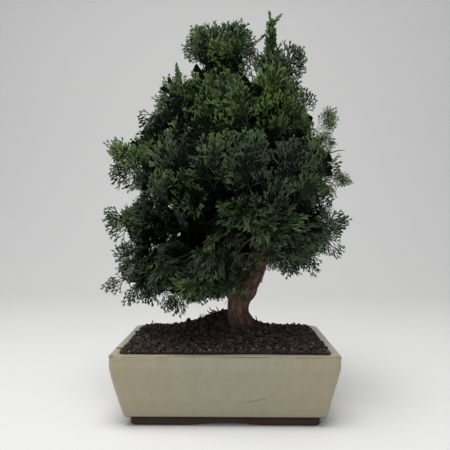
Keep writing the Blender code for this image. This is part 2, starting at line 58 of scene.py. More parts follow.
POT_LOW, POT_HIGH = (Vector(corner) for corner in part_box("pot"))
POT_MIDDLE = Vector(((POT_LOW.x + POT_HIGH.x) / 2, (POT_LOW.y + POT_HIGH.y) / 2, POT_LOW.z - UNDERSIDE))

# The camera, from the photograph: its place, its focal length and frame in pixels, and the pixel where lines
# along Y meet
CAMERA_PLACE = Vector((0.0068, -0.606, 0.222))
FOCAL_PIXELS = 480.0
FRAME_PIXELS = 450.0
VANISHING_POINT = (231.0, 226.0)

# The pot's profile, the wave of its rim and of its foot, and how finely it is divided
POT_WIDTH = 0.257
POT_DEPTH = 0.168
POT_HEIGHT = 0.080
WALL_TAPER = 0.0134
UPRIGHT_FROM = 0.0655
RIM_WIDTH = 0.0105
FOOT_HEIGHT = 0.0079
FOOT_INSET = 0.008
FOOT_WIDTH = 0.014
FLOOR_THICKNESS = 0.009
CORNER_RADIUS = 0.006
CORNER_STEPS = 6
SIDE_CUTS = 27
WALL_STEPS = 16
WALL_CURVE = 1.12
RIM_WAVE = 0.0009
FOOT_ARCH_SPANS = (0.094, 0.062)
FOOT_ARCH_RISE = 0.003

# The glaze: cream at the ends, celadon round a middle along X, then its spots, its runs and the low wall
GLAZE_CREAM = (0.325, 0.275, 0.175)
GLAZE_CELADON = (0.290, 0.275, 0.190)
CELADON_MIDDLE = 0.008
GLAZE_SPOTS = (0.40, 0.36, 0.25)
GLAZE_RUNS = (0.22, 0.21, 0.12)
GLAZE_LOW = (0.21, 0.20, 0.12)

# The height of the thin line under the rim, its brown and the brown of the edge. Then the specks, a fine
# scratch on the front wall, as X and height, and the bare foot, with near-black painted shade at its top
# under the wall.
RIM_LINE = 0.0792
RIM_BROWN = (0.060, 0.040, 0.024)
EDGE_BROWN = (0.150, 0.095, 0.050)
SPECK_BROWN = (0.070, 0.035, 0.018)
SCRATCH = (0.034, 0.029)
SCRATCH_BROWN = (0.070, 0.055, 0.035)
FOOT_CLAY = ((0.026, 0.010, 0.007), (0.062, 0.026, 0.017))
FOOT_SHADE = (0.008, 0.005, 0.004)

# Trunk stations from the flat cut at ground level to the tip: x, y, z, radius
GROUND = 0.086
TRUNK = (
    (0.018, -0.006, GROUND, 0.0195),
    (0.018, -0.006, 0.091, 0.0178),
    (0.018, -0.006, 0.101, 0.0152),
    (0.016, -0.006, 0.115, 0.0124),
    (0.0168, -0.006, 0.128, 0.0124),
    (0.0248, -0.006, 0.141, 0.0112),
    (0.0326, -0.004, 0.153, 0.0100),
    (0.0402, 0.000, 0.167, 0.0090),
    (0.044, 0.004, 0.185, 0.0080),
    (0.038, 0.006, 0.211, 0.0072),
    (0.030, 0.004, 0.248, 0.0062),
    (0.026, 0.000, 0.293, 0.0052),
    (0.026, 0.000, 0.343, 0.0042),
    (0.018, 0.000, 0.384, 0.0032),
    (0.006, -0.001, 0.408, 0.0024),
)

# The root flare: its lobes, their depth as a share of the radius, and its height
FLARE_LOBES = 5
FLARE_DEPTH = 0.16
FLARE_HEIGHT = 0.030

# How finely the bark is divided: steps between two stations, and sides of the trunk, a bough and a bare twig
TRUNK_SPANS = 16
TRUNK_SIDES = 112
BOUGH_SIDES = 18
BARE_TWIG_SIDES = 8

# The boughs: radius at the tip, sag, the share of their mass's reach where they stop and their distance from
# its walls, least length, and how slim the one at the front is. Then the step by which a line is followed.
BOUGH_TIP = 0.0016
BOUGH_SAG = 0.10
ENTRY_SHARE = 0.78
ENTRY_MARGIN = 0.003
LEAST_BOUGH = 0.014
FRONT_BOUGH_SHARE = 0.55
STEP = 0.0015

# Bark colours from the grooves to the ridges, and how much the pattern is drawn out along the limb
OLD_BARK = ((0.016, 0.008, 0.005), (0.088, 0.045, 0.028), (0.235, 0.130, 0.078), 26.0)
YOUNG_BARK = ((0.034, 0.015, 0.009), (0.130, 0.058, 0.032), (0.260, 0.135, 0.078), 60.0)
TWIG_BROWN = (0.040, 0.027, 0.016)

# The inner body of the crown, where the masses close up: height, middle along X, half width and half depth
CROWN = (
    (0.140, -0.080, 0.040, 0.055),
    (0.190, -0.056, 0.082, 0.080),
    (0.206, -0.016, 0.122, 0.092),
    (0.232, 0.000, 0.138, 0.100),
    (0.252, 0.006, 0.124, 0.102),
    (0.290, 0.000, 0.138, 0.102),
    (0.330, 0.000, 0.134, 0.090),
    (0.380, 0.006, 0.094, 0.068),
    (0.420, 0.014, 0.072, 0.046),
    (0.462, 0.016, 0.050, 0.026),
)

# A mass of foliage: the middle and reach of its space, the height where its bough leaves the trunk,
# the bough's radius there, points that the bough passes, and tips that stand out of its space.
Mass = namedtuple("Mass", "name middle reach leaves bough through leaders", defaults=((), ()))
MASSES = (
    Mass("low_left", (-0.092, -0.004, 0.168), (0.054, 0.050, 0.046), 0.162, 0.0060, (),
         ((-0.157, -0.008, 0.143), (-0.128, -0.010, 0.122))),
    Mass("low_left_front", (-0.044, -0.056, 0.172), (0.050, 0.048, 0.048), 0.126, 0.0072,
         ((0.006, -0.014, 0.138), (-0.002, -0.025, 0.151)),
         ((-0.060, -0.052, 0.117), (-0.018, -0.070, 0.136))),
    Mass("low_middle", (-0.022, -0.020, 0.166), (0.030, 0.032, 0.036), 0.145, 0.0050, (),
         ((-0.008, -0.030, 0.132),)),
    Mass("low_left_back", (-0.044, 0.060, 0.178), (0.056, 0.050, 0.052), 0.179, 0.0055),
    Mass("low_back", (0.032, 0.080, 0.198), (0.054, 0.044, 0.048), 0.165, 0.0052),
    Mass("low_right_back", (0.094, 0.050, 0.206), (0.050, 0.048, 0.048), 0.188, 0.0050),
    Mass("low_right_front", (0.084, -0.054, 0.212), (0.052, 0.046, 0.044), 0.172, 0.0055, (),
         ((0.070, -0.050, 0.160), (0.104, -0.056, 0.163))),
    Mass("low_right", (0.110, -0.002, 0.224), (0.038, 0.046, 0.044), 0.203, 0.0048, (),
         ((0.158, -0.006, 0.231), (0.144, -0.012, 0.184))),
    Mass("front_low", (0.028, -0.084, 0.240), (0.056, 0.040, 0.036), 0.160, 0.0050,
         ((0.026, -0.030, 0.170), (0.036, -0.043, 0.184), (0.046, -0.055, 0.197))),
    Mass("mid_left_low", (-0.100, 0.000, 0.230), (0.050, 0.048, 0.034), 0.213, 0.0046, (),
         ((-0.157, 0.000, 0.237), (-0.150, -0.006, 0.214))),
    Mass("mid_front_left", (-0.044, -0.062, 0.278), (0.052, 0.048, 0.054), 0.224, 0.0046),
    Mass("mid_back_left", (-0.044, 0.064, 0.282), (0.056, 0.050, 0.056), 0.234, 0.0046),
    Mass("mid_back_right", (0.074, 0.062, 0.290), (0.054, 0.050, 0.054), 0.244, 0.0044),
    Mass("mid_front_right", (0.078, -0.056, 0.294), (0.052, 0.048, 0.050), 0.254, 0.0044),
    Mass("mid_right", (0.106, 0.002, 0.296), (0.042, 0.048, 0.050), 0.264, 0.0042, (),
         ((0.140, -0.006, 0.258),)),
    Mass("mid_left", (-0.094, -0.002, 0.310), (0.054, 0.048, 0.048), 0.272, 0.0042, (),
         ((-0.155, -0.004, 0.327), (-0.147, -0.006, 0.280))),
    Mass("mid_front", (0.016, -0.080, 0.306), (0.050, 0.044, 0.044), 0.282, 0.0042),
    Mass("upper_front", (0.002, -0.052, 0.366), (0.046, 0.040, 0.044), 0.318, 0.0036),
    Mass("upper_back", (0.024, 0.054, 0.368), (0.058, 0.044, 0.054), 0.328, 0.0036),
    Mass("upper_right", (0.088, 0.004, 0.354), (0.043, 0.044, 0.044), 0.338, 0.0034, (),
         ((0.110, 0.002, 0.394),)),
    Mass("upper_left", (-0.054, -0.002, 0.372), (0.048, 0.044, 0.047), 0.348, 0.0034, (),
         ((-0.112, -0.004, 0.352), (-0.094, -0.004, 0.384), (-0.072, -0.004, 0.414))),
    Mass("upper_front_right", (0.056, -0.044, 0.376), (0.042, 0.040, 0.044), 0.358, 0.0034),
    Mass("top_right", (0.076, 0.002, 0.424), (0.028, 0.030, 0.030), 0.378, 0.0028,
         ((0.042, 0.002, 0.398),), ((0.102, 0.002, 0.441), (0.104, 0.002, 0.424))),
    Mass("top_left", (-0.012, -0.002, 0.458), (0.042, 0.028, 0.024), 0.406, 0.0024, (),
         ((-0.056, -0.004, 0.450), (-0.044, -0.004, 0.475), (0.026, -0.002, 0.474))),
    Mass("top_spire", (0.060, 0.002, 0.456), (0.010, 0.010, 0.020), 0.384, 0.0022,
         ((0.038, 0.010, 0.403), (0.052, 0.008, 0.424))),
    Mass("top", (-0.010, 0.000, 0.414), (0.044, 0.038, 0.036), None, None),
)

# Gaps and notches in the crown that show the sky: each runs along the line of sight through a point
# at the trunk's depth, given by its X, height and radius
SKY_GAPS = (
    (0.026, 0.417, 0.0105),
    (0.0445, 0.4575, 0.0075),
    (-0.037, 0.4365, 0.0085),
    (-0.053, 0.436, 0.0110),
    (-0.072, 0.432, 0.0090),
    (0.116, 0.367, 0.0105),
    (0.110, 0.382, 0.0075),
    (0.125, 0.386, 0.0140),
    (0.119, 0.407, 0.0130),
    (0.104, 0.403, 0.0075),
    (0.141, 0.323, 0.0080),
    (0.144, 0.306, 0.0085),
    (-0.131, 0.349, 0.0130),
    (-0.104, 0.398, 0.0100),
    (-0.079, 0.410, 0.0075),
    (-0.1260, 0.2510, 0.0050),
    (-0.1400, 0.2530, 0.0100),
    (-0.1290, 0.1280, 0.0100),
    (0.1460, 0.1890, 0.0080),
    (0.147, 0.252, 0.0095),
    (0.158, 0.261, 0.0095),
    (-0.045, 0.109, 0.0130),
    (-0.024, 0.115, 0.0160),
    (0.001, 0.120, 0.0140),
)

# The kinds of fan: how many, first seed, levels of forking, length of a side branch as a share, opening angle
# in degrees, width of a branchlet and length of a finger
FAN_KINDS = {
    "fan": (8, 40, 7, 0.92, 32, 0.030, 1.30),
    "long": (8, 50, 7, 0.96, 24, 0.027, 1.50),
    "shoot": (2, 60, 8, 0.42, 36, 0.075, 1.20),
    "coarse": (4, 70, 5, 0.92, 34, 0.056, 1.30),
    "filler": (3, 80, 4, 0.95, 36, 0.085, 1.20),
}

# A side branch's bend back to the fan's own way, a branchlet's ridge along it and above it, and the share of
# the branchlets that are not tips
BEND_BACK = 0.66
RIDGE_AT = 0.55
RIDGE_HEIGHT = 0.60
TIP_QUANTILE = 0.58

# How the foliage grows: the valleys between masses, the distance between fans and between clusters, how far
# a cluster's hub is under the surface, how much its edge drops over its reach, the fans' lengths, the lines
# that look for the surface, the share of fans left out where it is open, and the twigs' radii
VALLEY = 0.004
FAN_SPACING = 0.0128
CLUSTER_SPACING = 0.042
CLUSTER_DEPTH = (0.036, 0.050)
CLUSTER_REACH = 0.022
DOME_DROP = 0.013
FAN_LENGTHS = (0.034, 0.050)
LEAST_FAN = 0.022
SURFACE_RAYS = 1100
THIN_SHARE = 0.60
TWIG_RADII = (0.0014, 0.0009)

# The sprays behind, near-black as painted shade: depth and spacing of each layer, and their length. Then the
# fillers in the middle, near-black in the same way: the grid's limits and spacing, and their length.
INNER_LAYERS = ((0.018, 0.022), (0.036, 0.026))
INNER_LENGTH = 0.040
FILLER_LIMITS = ((-0.15, 0.16), (-0.11, 0.12), (0.13, 0.46))
FILLER_SPACING = 0.023
FILLER_LENGTH = 0.046

# The most triangles in one piece
PIECE_TRIANGLES = 190_000

# Where the foliage is lighter or darker than its surroundings, partly fresher growth and partly painted light
# on lit domes and painted shade where it is shaded: a place, a radius and how much it shifts
FRESHNESS_AND_PAINTED_LIGHT = (
    (-0.040, -0.010, 0.468, 0.040, 0.35),
    (0.015, -0.010, 0.478, 0.045, 0.05),
    (-0.006, -0.070, 0.354, 0.036, 0.75),
    (0.056, -0.062, 0.364, 0.034, 0.80),
    (0.017, -0.105, 0.275, 0.022, 0.90),
    (-0.016, -0.100, 0.243, 0.016, 0.90),
    (0.152, 0.000, 0.288, 0.032, 0.60),
    (0.143, 0.000, 0.372, 0.030, 0.70),
    (-0.140, -0.010, 0.325, 0.030, 0.50),
    (-0.140, -0.005, 0.238, 0.026, 0.60),
    (-0.056, -0.090, 0.150, 0.014, 0.40),
    (-0.150, -0.008, 0.145, 0.014, 0.60),
    (-0.040, 0.090, 0.330, 0.036, 0.60),
    (0.080, 0.085, 0.330, 0.034, 0.60),
    (-0.070, 0.070, 0.250, 0.026, 0.50),
    (-0.030, -0.085, 0.322, 0.042, -0.45),
    (0.072, -0.085, 0.325, 0.036, -0.45),
    (0.080, 0.000, 0.430, 0.034, -0.25),
    (-0.060, -0.020, 0.385, 0.036, -0.20),
    (0.020, -0.080, 0.215, 0.040, 0.10),
    (0.040, 0.070, 0.300, 0.040, -0.35),
)

# Where the sprays stand loosely, so that the sky shows between them: a place and a radius
OPEN_PLACES = (
    (-0.132, 0.000, 0.305, 0.040),
    (-0.086, 0.000, 0.392, 0.040),
    (-0.020, 0.000, 0.452, 0.036),
    (0.096, 0.000, 0.430, 0.030),
    (0.146, 0.000, 0.300, 0.032),
    (-0.038, 0.000, 0.422, 0.020),
    (0.108, 0.000, 0.358, 0.016),
    (0.130, 0.000, 0.309, 0.016),
)

# Single tips that the outline ends in, besides the leaders of the solids: space, tip, length and how many
# stand one behind the other
TIPS = (
    ("top_left", (-0.043, 0.002, 0.466), 0.044, 2),
    ("top_left", (-0.032, -0.006, 0.475), 0.046, 2),
    ("top_left", (-0.017, 0.000, 0.476), 0.044, 2),
    ("top_left", (-0.004, -0.006, 0.479), 0.046, 2),
    ("top_left", (0.013, 0.000, 0.478), 0.044, 2),
    ("top_left", (0.029, -0.004, 0.478), 0.046, 3),
    ("top_left", (0.037, 0.004, 0.466), 0.042, 3),
    ("top_left", (0.038, -0.004, 0.450), 0.036, 3),
    ("mid_left", (-0.149, -0.004, 0.316), 0.042, 1),
    ("mid_left", (-0.147, 0.000, 0.298), 0.040, 1),
    ("mid_left", (-0.130, -0.004, 0.268), 0.036, 1),
    ("mid_left", (-0.122, 0.004, 0.334), 0.038, 2),
    ("upper_left", (-0.080, -0.004, 0.398), 0.036, 1),
    ("upper_left", (-0.090, 0.000, 0.381), 0.034, 2),
    ("mid_left_low", (-0.152, 0.004, 0.226), 0.036, 1),
    ("mid_left_low", (-0.132, 0.004, 0.240), 0.034, 2),
    ("low_left", (-0.142, 0.004, 0.198), 0.036, 2),
    ("low_left", (-0.139, -0.004, 0.168), 0.036, 1),
    ("low_left", (-0.144, 0.004, 0.184), 0.036, 2),
    ("low_left", (-0.096, -0.020, 0.124), 0.036, 3),
    ("low_left", (-0.067, -0.020, 0.117), 0.034, 2),
    ("top_right", (0.100, 0.002, 0.450), 0.036, 1),
    ("top_right", (0.088, -0.002, 0.453), 0.036, 1),
    ("mid_right", (0.148, 0.002, 0.296), 0.038, 1),
    ("low_right", (0.150, 0.000, 0.212), 0.036, 2),
)

# Sprays placed one by one: kind, colour, root, tip and copies. The colours are partly painted light and
# shade, lighter where a spray is lit and darker where it is shaded.
SINGLE_SPRAYS = (
    ("shoot", "mid", (0.0600, 0.002, 0.434), (0.0525, 0.003, 0.4935), 4),
    ("shoot", "mid", (0.0555, 0.003, 0.470), (0.0715, 0.003, 0.4925), 2),
    ("shoot", "dark", (0.0520, 0.002, 0.4680), (0.0385, 0.002, 0.4520), 1),
    ("fan", "light", (-0.0160, -0.004, 0.448), (-0.0520, -0.004, 0.4540), 2),
    ("fan", "dark", (0.0300, 0.000, 0.420), (0.0360, 0.000, 0.4480), 2),
    ("long", "dark", (-0.0880, 0.000, 0.266), (-0.1150, 0.000, 0.2570), 2),
    ("long", "mid", (-0.0960, 0.000, 0.288), (-0.1230, 0.000, 0.2690), 2),
    ("shoot", "dark", (-0.0580, 0.000, 0.394), (-0.0640, 0.002, 0.4290), 2),
    ("long", "light", (0.1160, 0.002, 0.344), (0.1406, 0.002, 0.3725), 3),
    ("long", "light", (0.1180, 0.002, 0.342), (0.1438, 0.002, 0.3600), 2),
    ("long", "mid", (0.1160, 0.000, 0.336), (0.1406, 0.000, 0.3508), 2),
    ("long", "mid", (0.1120, 0.002, 0.328), (0.1356, 0.002, 0.3394), 2),
    ("long", "dark", (0.1140, 0.002, 0.322), (0.1394, 0.002, 0.3318), 2),
    ("long", "light", (0.1280, 0.000, 0.284), (0.1610, 0.000, 0.2745), 3),
    ("long", "mid", (0.1260, 0.000, 0.290), (0.1577, 0.000, 0.2830), 2),
    ("long", "light", (-0.0260, -0.086, 0.156), (-0.0540, -0.090, 0.159), 1),
    ("long", "dark", (0.0480, -0.044, 0.190), (0.0585, -0.050, 0.1700), 2),
    ("long", "deep", (0.0480, -0.044, 0.188), (0.0740, -0.050, 0.1680), 2),
    ("long", "deep", (0.0600, -0.044, 0.190), (0.0900, -0.050, 0.1660), 2),
    ("fan", "dead", (-0.0080, -0.074, 0.186), (-0.0190, -0.080, 0.1790), 3),
)

# Bare twigs that show among the sprays: radius at the start, then the points they pass
BARE_TWIGS = (
    (0.0016, (0.035, -0.043, 0.186), (0.024, -0.046, 0.190), (0.012, -0.048, 0.185)),
    (0.0016, (0.044, -0.054, 0.197), (0.043, -0.061, 0.209), (0.035, -0.068, 0.220)),
    (0.0011, (0.035, -0.068, 0.220), (0.023, -0.072, 0.217), (0.011, -0.074, 0.209)),
    (0.0011, (0.036, -0.067, 0.218), (0.047, -0.072, 0.217), (0.058, -0.074, 0.209)),
    (0.0011, (0.040, -0.062, 0.212), (0.028, -0.068, 0.207), (0.018, -0.070, 0.198)),
    (0.0011, (0.045, -0.055, 0.198), (0.054, -0.060, 0.196), (0.064, -0.062, 0.188)),
    (0.0010, (0.035, -0.068, 0.220), (0.030, -0.073, 0.231), (0.020, -0.077, 0.238)),
    (0.0010, (0.126, 0.000, 0.312), (0.140, 0.000, 0.3165), (0.1505, 0.000, 0.3176)),
)

# The heap of soil: its rise, its middle and its reach to the left, right and depth. Then the collar of soil
# round the trunk, the level at the rim and the rise from there to the level ground.
HEAP_RISE = 0.0235
HEAP_MIDDLE = (0.006, 0.022)
HEAP_REACH = (0.052, 0.034, 0.036)
COLLAR_RISE = 0.0115
COLLAR_REACH = 0.026
COLLAR_START = 0.013
SOIL_EDGE = 0.0795
EDGE_RISE = 0.0055

# Half the soil's width and depth, its gap to the wall, its cells, and how its sides go down and inward
SOIL_HALF = (POT_WIDTH / 2 - RIM_WIDTH, POT_DEPTH / 2 - RIM_WIDTH)
SOIL_GAP = 0.0006
SOIL_CELLS = (118, 74)
SIDE_DEPTH = 0.012
SIDE_SHARES = (0.975, 0.965)
SOIL_COLOURS = ((0.0065, 0.0038, 0.0028), (0.030, 0.017, 0.012))

# What lies on the soil: name, count, where, sizes, flatness, share of the size that it is raised by,
# and its dark and light colours. Then how far it stays from the wall and the trunk, and the bits of twig.
CRUMBS = (
    ("crumbs_black", 1250, "anywhere", (0.0030, 0.0070), (0.40, 0.85), 0.14,
     (0.0050, 0.0032, 0.0026), (0.018, 0.011, 0.009)),
    ("crumbs_brown", 1050, "anywhere", (0.0028, 0.0074), (0.25, 0.7), 0.22,
     (0.013, 0.0070, 0.0050), (0.060, 0.033, 0.023)),
    ("chips_red", 420, "anywhere", (0.0028, 0.0070), (0.2, 0.5), 0.28,
     (0.030, 0.016, 0.011), (0.120, 0.068, 0.046)),
    ("chips_pale", 200, "anywhere", (0.0024, 0.0056), (0.25, 0.6), 0.30,
     (0.060, 0.044, 0.030), (0.200, 0.150, 0.105)),
    ("crumbs_fine", 400, "anywhere", (0.0012, 0.0026), (0.6, 1.0), 0.30,
     (0.016, 0.009, 0.006), (0.070, 0.042, 0.027)),
    ("lumps_at_trunk", 90, "trunk", (0.0040, 0.0090), (0.5, 0.9), 0.20,
     (0.0070, 0.0038, 0.0028), (0.034, 0.019, 0.013)),
    ("crumbs_spilled", 110, "rim", (0.0026, 0.0060), (0.4, 0.8), 0.30,
     (0.0080, 0.0048, 0.0036), (0.048, 0.029, 0.020)),
    ("grit_tan", 34, "front", (0.0026, 0.0056), (0.6, 1.0), 0.28,
     (0.085, 0.058, 0.038), (0.230, 0.170, 0.115)),
    ("grit_grey", 50, "anywhere", (0.0022, 0.0046), (0.6, 1.0), 0.28,
     (0.060, 0.052, 0.042), (0.170, 0.150, 0.120)),
)
WALL_CLEARANCE = 0.001
TRUNK_CLEARANCE = 0.0150
NEAR_TRUNK = (0.0155, 0.0250)
TWIG_BITS = 70
BIT_LENGTHS = (0.006, 0.015)
DRY_WOOD = ((0.012, 0.008, 0.006), (0.050, 0.030, 0.020))

# Loose sticks that stand out of the heap: foot and end. Then one round crumb that shows against the light.
LOOSE_STICKS = (
    ((-0.033, 0.030, 0.096), (-0.0335, 0.028, 0.1056)),
    ((-0.016, 0.026, 0.106), (-0.024, 0.022, 0.1110)),
    ((-0.012, 0.026, 0.107), (-0.021, 0.020, 0.1155)),
    ((-0.008, 0.024, 0.108), (-0.012, 0.018, 0.1165)),
    ((-0.004, 0.022, 0.108), (-0.016, 0.016, 0.1130)),
    ((0.047, 0.010, 0.092), (0.0385, 0.006, 0.1070)),
    ((0.052, 0.012, 0.090), (0.0440, 0.008, 0.1010)),
    ((0.066, 0.020, 0.088), (0.0780, 0.016, 0.0930)),
)
ROUND_CRUMB = (-0.0495, 0.030, 0.0968)
ROUND_CRUMB_SIZE = 0.0075

# Plain base colours that are dealt out by spray: the score up to which each goes, and its inner and tip
# colours, from the deepest to the freshest. The steps stand partly for older and fresher growth and partly
# for
# painted light and shade: lighter greens for lit sprays, darker for shaded ones. Each tip colour is lighter
# than its inner colour, partly fresh growth and partly painted highlight on the lit outer edges, and the
# inner colour is partly painted shade. Dead brown is dealt out by name only.
GREENS_WITH_PAINTED_LIGHT = {
    "deep": (0.24, (0.0068, 0.0100, 0.0060), (0.0540, 0.0740, 0.0470)),
    "dark": (0.50, (0.0105, 0.0165, 0.0086), (0.0820, 0.1200, 0.0640)),
    "mid": (0.78, (0.0155, 0.0280, 0.0095), (0.0950, 0.1580, 0.0540)),
    "light": (1.05, (0.0230, 0.0420, 0.0115), (0.1150, 0.1880, 0.0540)),
    "fresh": (9.00, (0.0340, 0.0600, 0.0150), (0.1430, 0.2250, 0.0600)),
    "dead": (99.0, (0.0800, 0.0300, 0.0200), (0.1500, 0.0580, 0.0380)),
}
# Near-black painted shade for the sprays and fillers inside the crown
INNER_SHADE_GREEN = (0.0046, 0.0072, 0.0038)

# Small sprays that hide the lowest limbs: the masses whose boughs they hang from, how many on each, their
# lengths and the lowest level of a tip. Then places among the limbs: a place, a radius and how many.
HUNG_BOUGHS = ("low_left", "low_left_front", "low_middle")
HUNG_SPRAYS = 60
HUNG_LENGTHS = (0.024, 0.036)
LOWEST_TIP = 0.128
SHADE_PLACES = (
    (0.012, 0.034, 0.166, 0.024, 46),
    (-0.012, 0.020, 0.164, 0.024, 40),
    (-0.004, -0.040, 0.166, 0.020, 30),
    (-0.024, -0.046, 0.158, 0.020, 26),
    (0.020, -0.050, 0.163, 0.012, 14),
    (-0.100, 0.010, 0.228, 0.024, 16),
    (-0.070, 0.010, 0.238, 0.026, 16),
    (-0.090, 0.000, 0.202, 0.016, 16),
    (-0.072, 0.005, 0.212, 0.014, 12),
    (-0.076, 0.000, 0.340, 0.014, 14),
)

# The lamps: name, place, what they face, size, power and colour. Then the light from all round.
LAMPS = (
    ("soft_top", (-0.15, -0.50, 1.80), (0.0, 0.0, 0.20), (1.3, 1.0), 27.0, (1.0, 0.99, 0.97)),
    ("soft_front", (-0.7, -1.6, 0.80), (0.0, 0.0, 0.15), (1.3, 1.0), 6.0, (0.97, 0.985, 1.0)),
)
ROOM_LIGHT = (0.95, 0.97, 1.0, 1.0)
ROOM_STRENGTH = 0.37

# The paper that the plant stands on: size, middle along Y, radius of the sweep, height of the wall and colour
PAPER_SIZE = (8.0, 4.2)
PAPER_MIDDLE = -1.2
SWEEP_RADIUS = 0.9
SWEEP_STEPS = 16
WALL_HEIGHT = 3.0
PAPER = (0.80, 0.80, 0.79)


class Value:
    """A shader socket that Python's operators work on."""

    def __init__(self, finish, socket):
        self.finish = finish
        self.socket = socket

    def __add__(self, other):
        return self.finish.maths("ADD", self, other)

    def __sub__(self, other):
        return self.finish.maths("SUBTRACT", self, other)

    def __rsub__(self, other):
        return self.finish.maths("SUBTRACT", other, self)

    def __mul__(self, other):
        return self.finish.maths("MULTIPLY", self, other)

    __radd__ = __add__
    __rmul__ = __mul__


class Finish:
    """A material in the making: every node of it comes from one method."""

    def __init__(self, name, **constants):
        self.material = bpy.data.materials.new(name)
        self.material.use_nodes = True
        self.nodes = self.material.node_tree.nodes
        self.links = self.material.node_tree.links
        self.shader = self.nodes["Principled BSDF"]
        self.put(self.shader, constants)

    def put(self, node, values):
        """Sets or links sockets, which are named by text, or by number where the names repeat."""
        for key, value in values.items():
            socket = node.inputs[key if isinstance(key, int) else key.replace("_", " ")]
            if isinstance(value, Value):
                self.links.new(value.socket, socket)
            elif isinstance(value, tuple) and len(value) == 3 and socket.type == "RGBA":
                socket.default_value = (*value, 1.0)
            else:
                socket.default_value = value

    def node(self, kind, settings=None, values=None, output=0):
        """Adds a node: its settings first, then the values or links of its sockets."""
        made = self.nodes.new("ShaderNode" + kind)
        for key, setting in (settings or {}).items():
            if key == "stops":
                ramp = made.color_ramp
                for _ in range(len(setting) - 2):
                    ramp.elements.new(0.5)
                for element, (place, colour) in zip(ramp.elements, setting):
                    element.position = place
                    element.color = (*colour, 1.0)
            else:
                setattr(made, key, setting)
        self.put(made, values or {})
        return Value(self, made.outputs[output])

    def maths(self, operation, first, second=0.0):
        return self.node("Math", {"operation": operation}, {0: first, 1: second})

    def place(self):
        """The point on the surface, in the object's own frame."""
        return self.node("TexCoord", output=3)

    def split(self, vector, axis):
        """One part of a vector: 0 for X, 1 for Y and 2 for Z."""
        return self.node("SeparateXYZ", values={0: vector}, output=axis)

    def scaled(self, vector, factors):
        return self.node("VectorMath", {"operation": "MULTIPLY"}, {0: vector, 1: factors})

    def grain(self, vector, scale, detail=4.0, roughness=0.55, distortion=0.0):
        """Soft noise between 0 and 1."""
        return self.node("TexNoise", values={
            "Vector": vector, "Scale": scale, "Detail": detail, "Roughness": roughness,
            "Distortion": distortion})

    def cells(self, vector, scale):
        """The distance to scattered points."""
        return self.node("TexVoronoi", {"feature": "F1"}, {"Vector": vector, "Scale": scale})

    def ranged(self, value, low, high, to_low=0.0, to_high=1.0):
        """The value carried from one range to another, and held inside it."""
        return self.node("MapRange", {"clamp": True}, {
            "Value": value, "From_Min": low, "From_Max": high, "To_Min": to_low, "To_Max": to_high})

    def fading(self, value, low, high, share=1.0):
        """A share that falls to nothing from one value to another."""
        return self.ranged(value, low, high, share, 0.0)

    def mixed(self, share, first, second):
        """One colour going over to another as the share goes from 0 to 1."""
        return self.node("Mix", {"data_type": "RGBA"}, {0: share, 6: first, 7: second}, output=2)

    def ramp(self, value, *stops):
        """Colours along a scale from 0 to 1, each stop a place and a colour."""
        return self.node("ValToRGB", {"stops": stops}, {0: value})

    def bump(self, height, distance):
        return self.node("Bump", values={"Height": height, "Distance": distance, "Strength": 1.0})

    def set(self, **values):
        """The finished material, once its shader has these values."""
        self.put(self.shader, values)
        return self.material


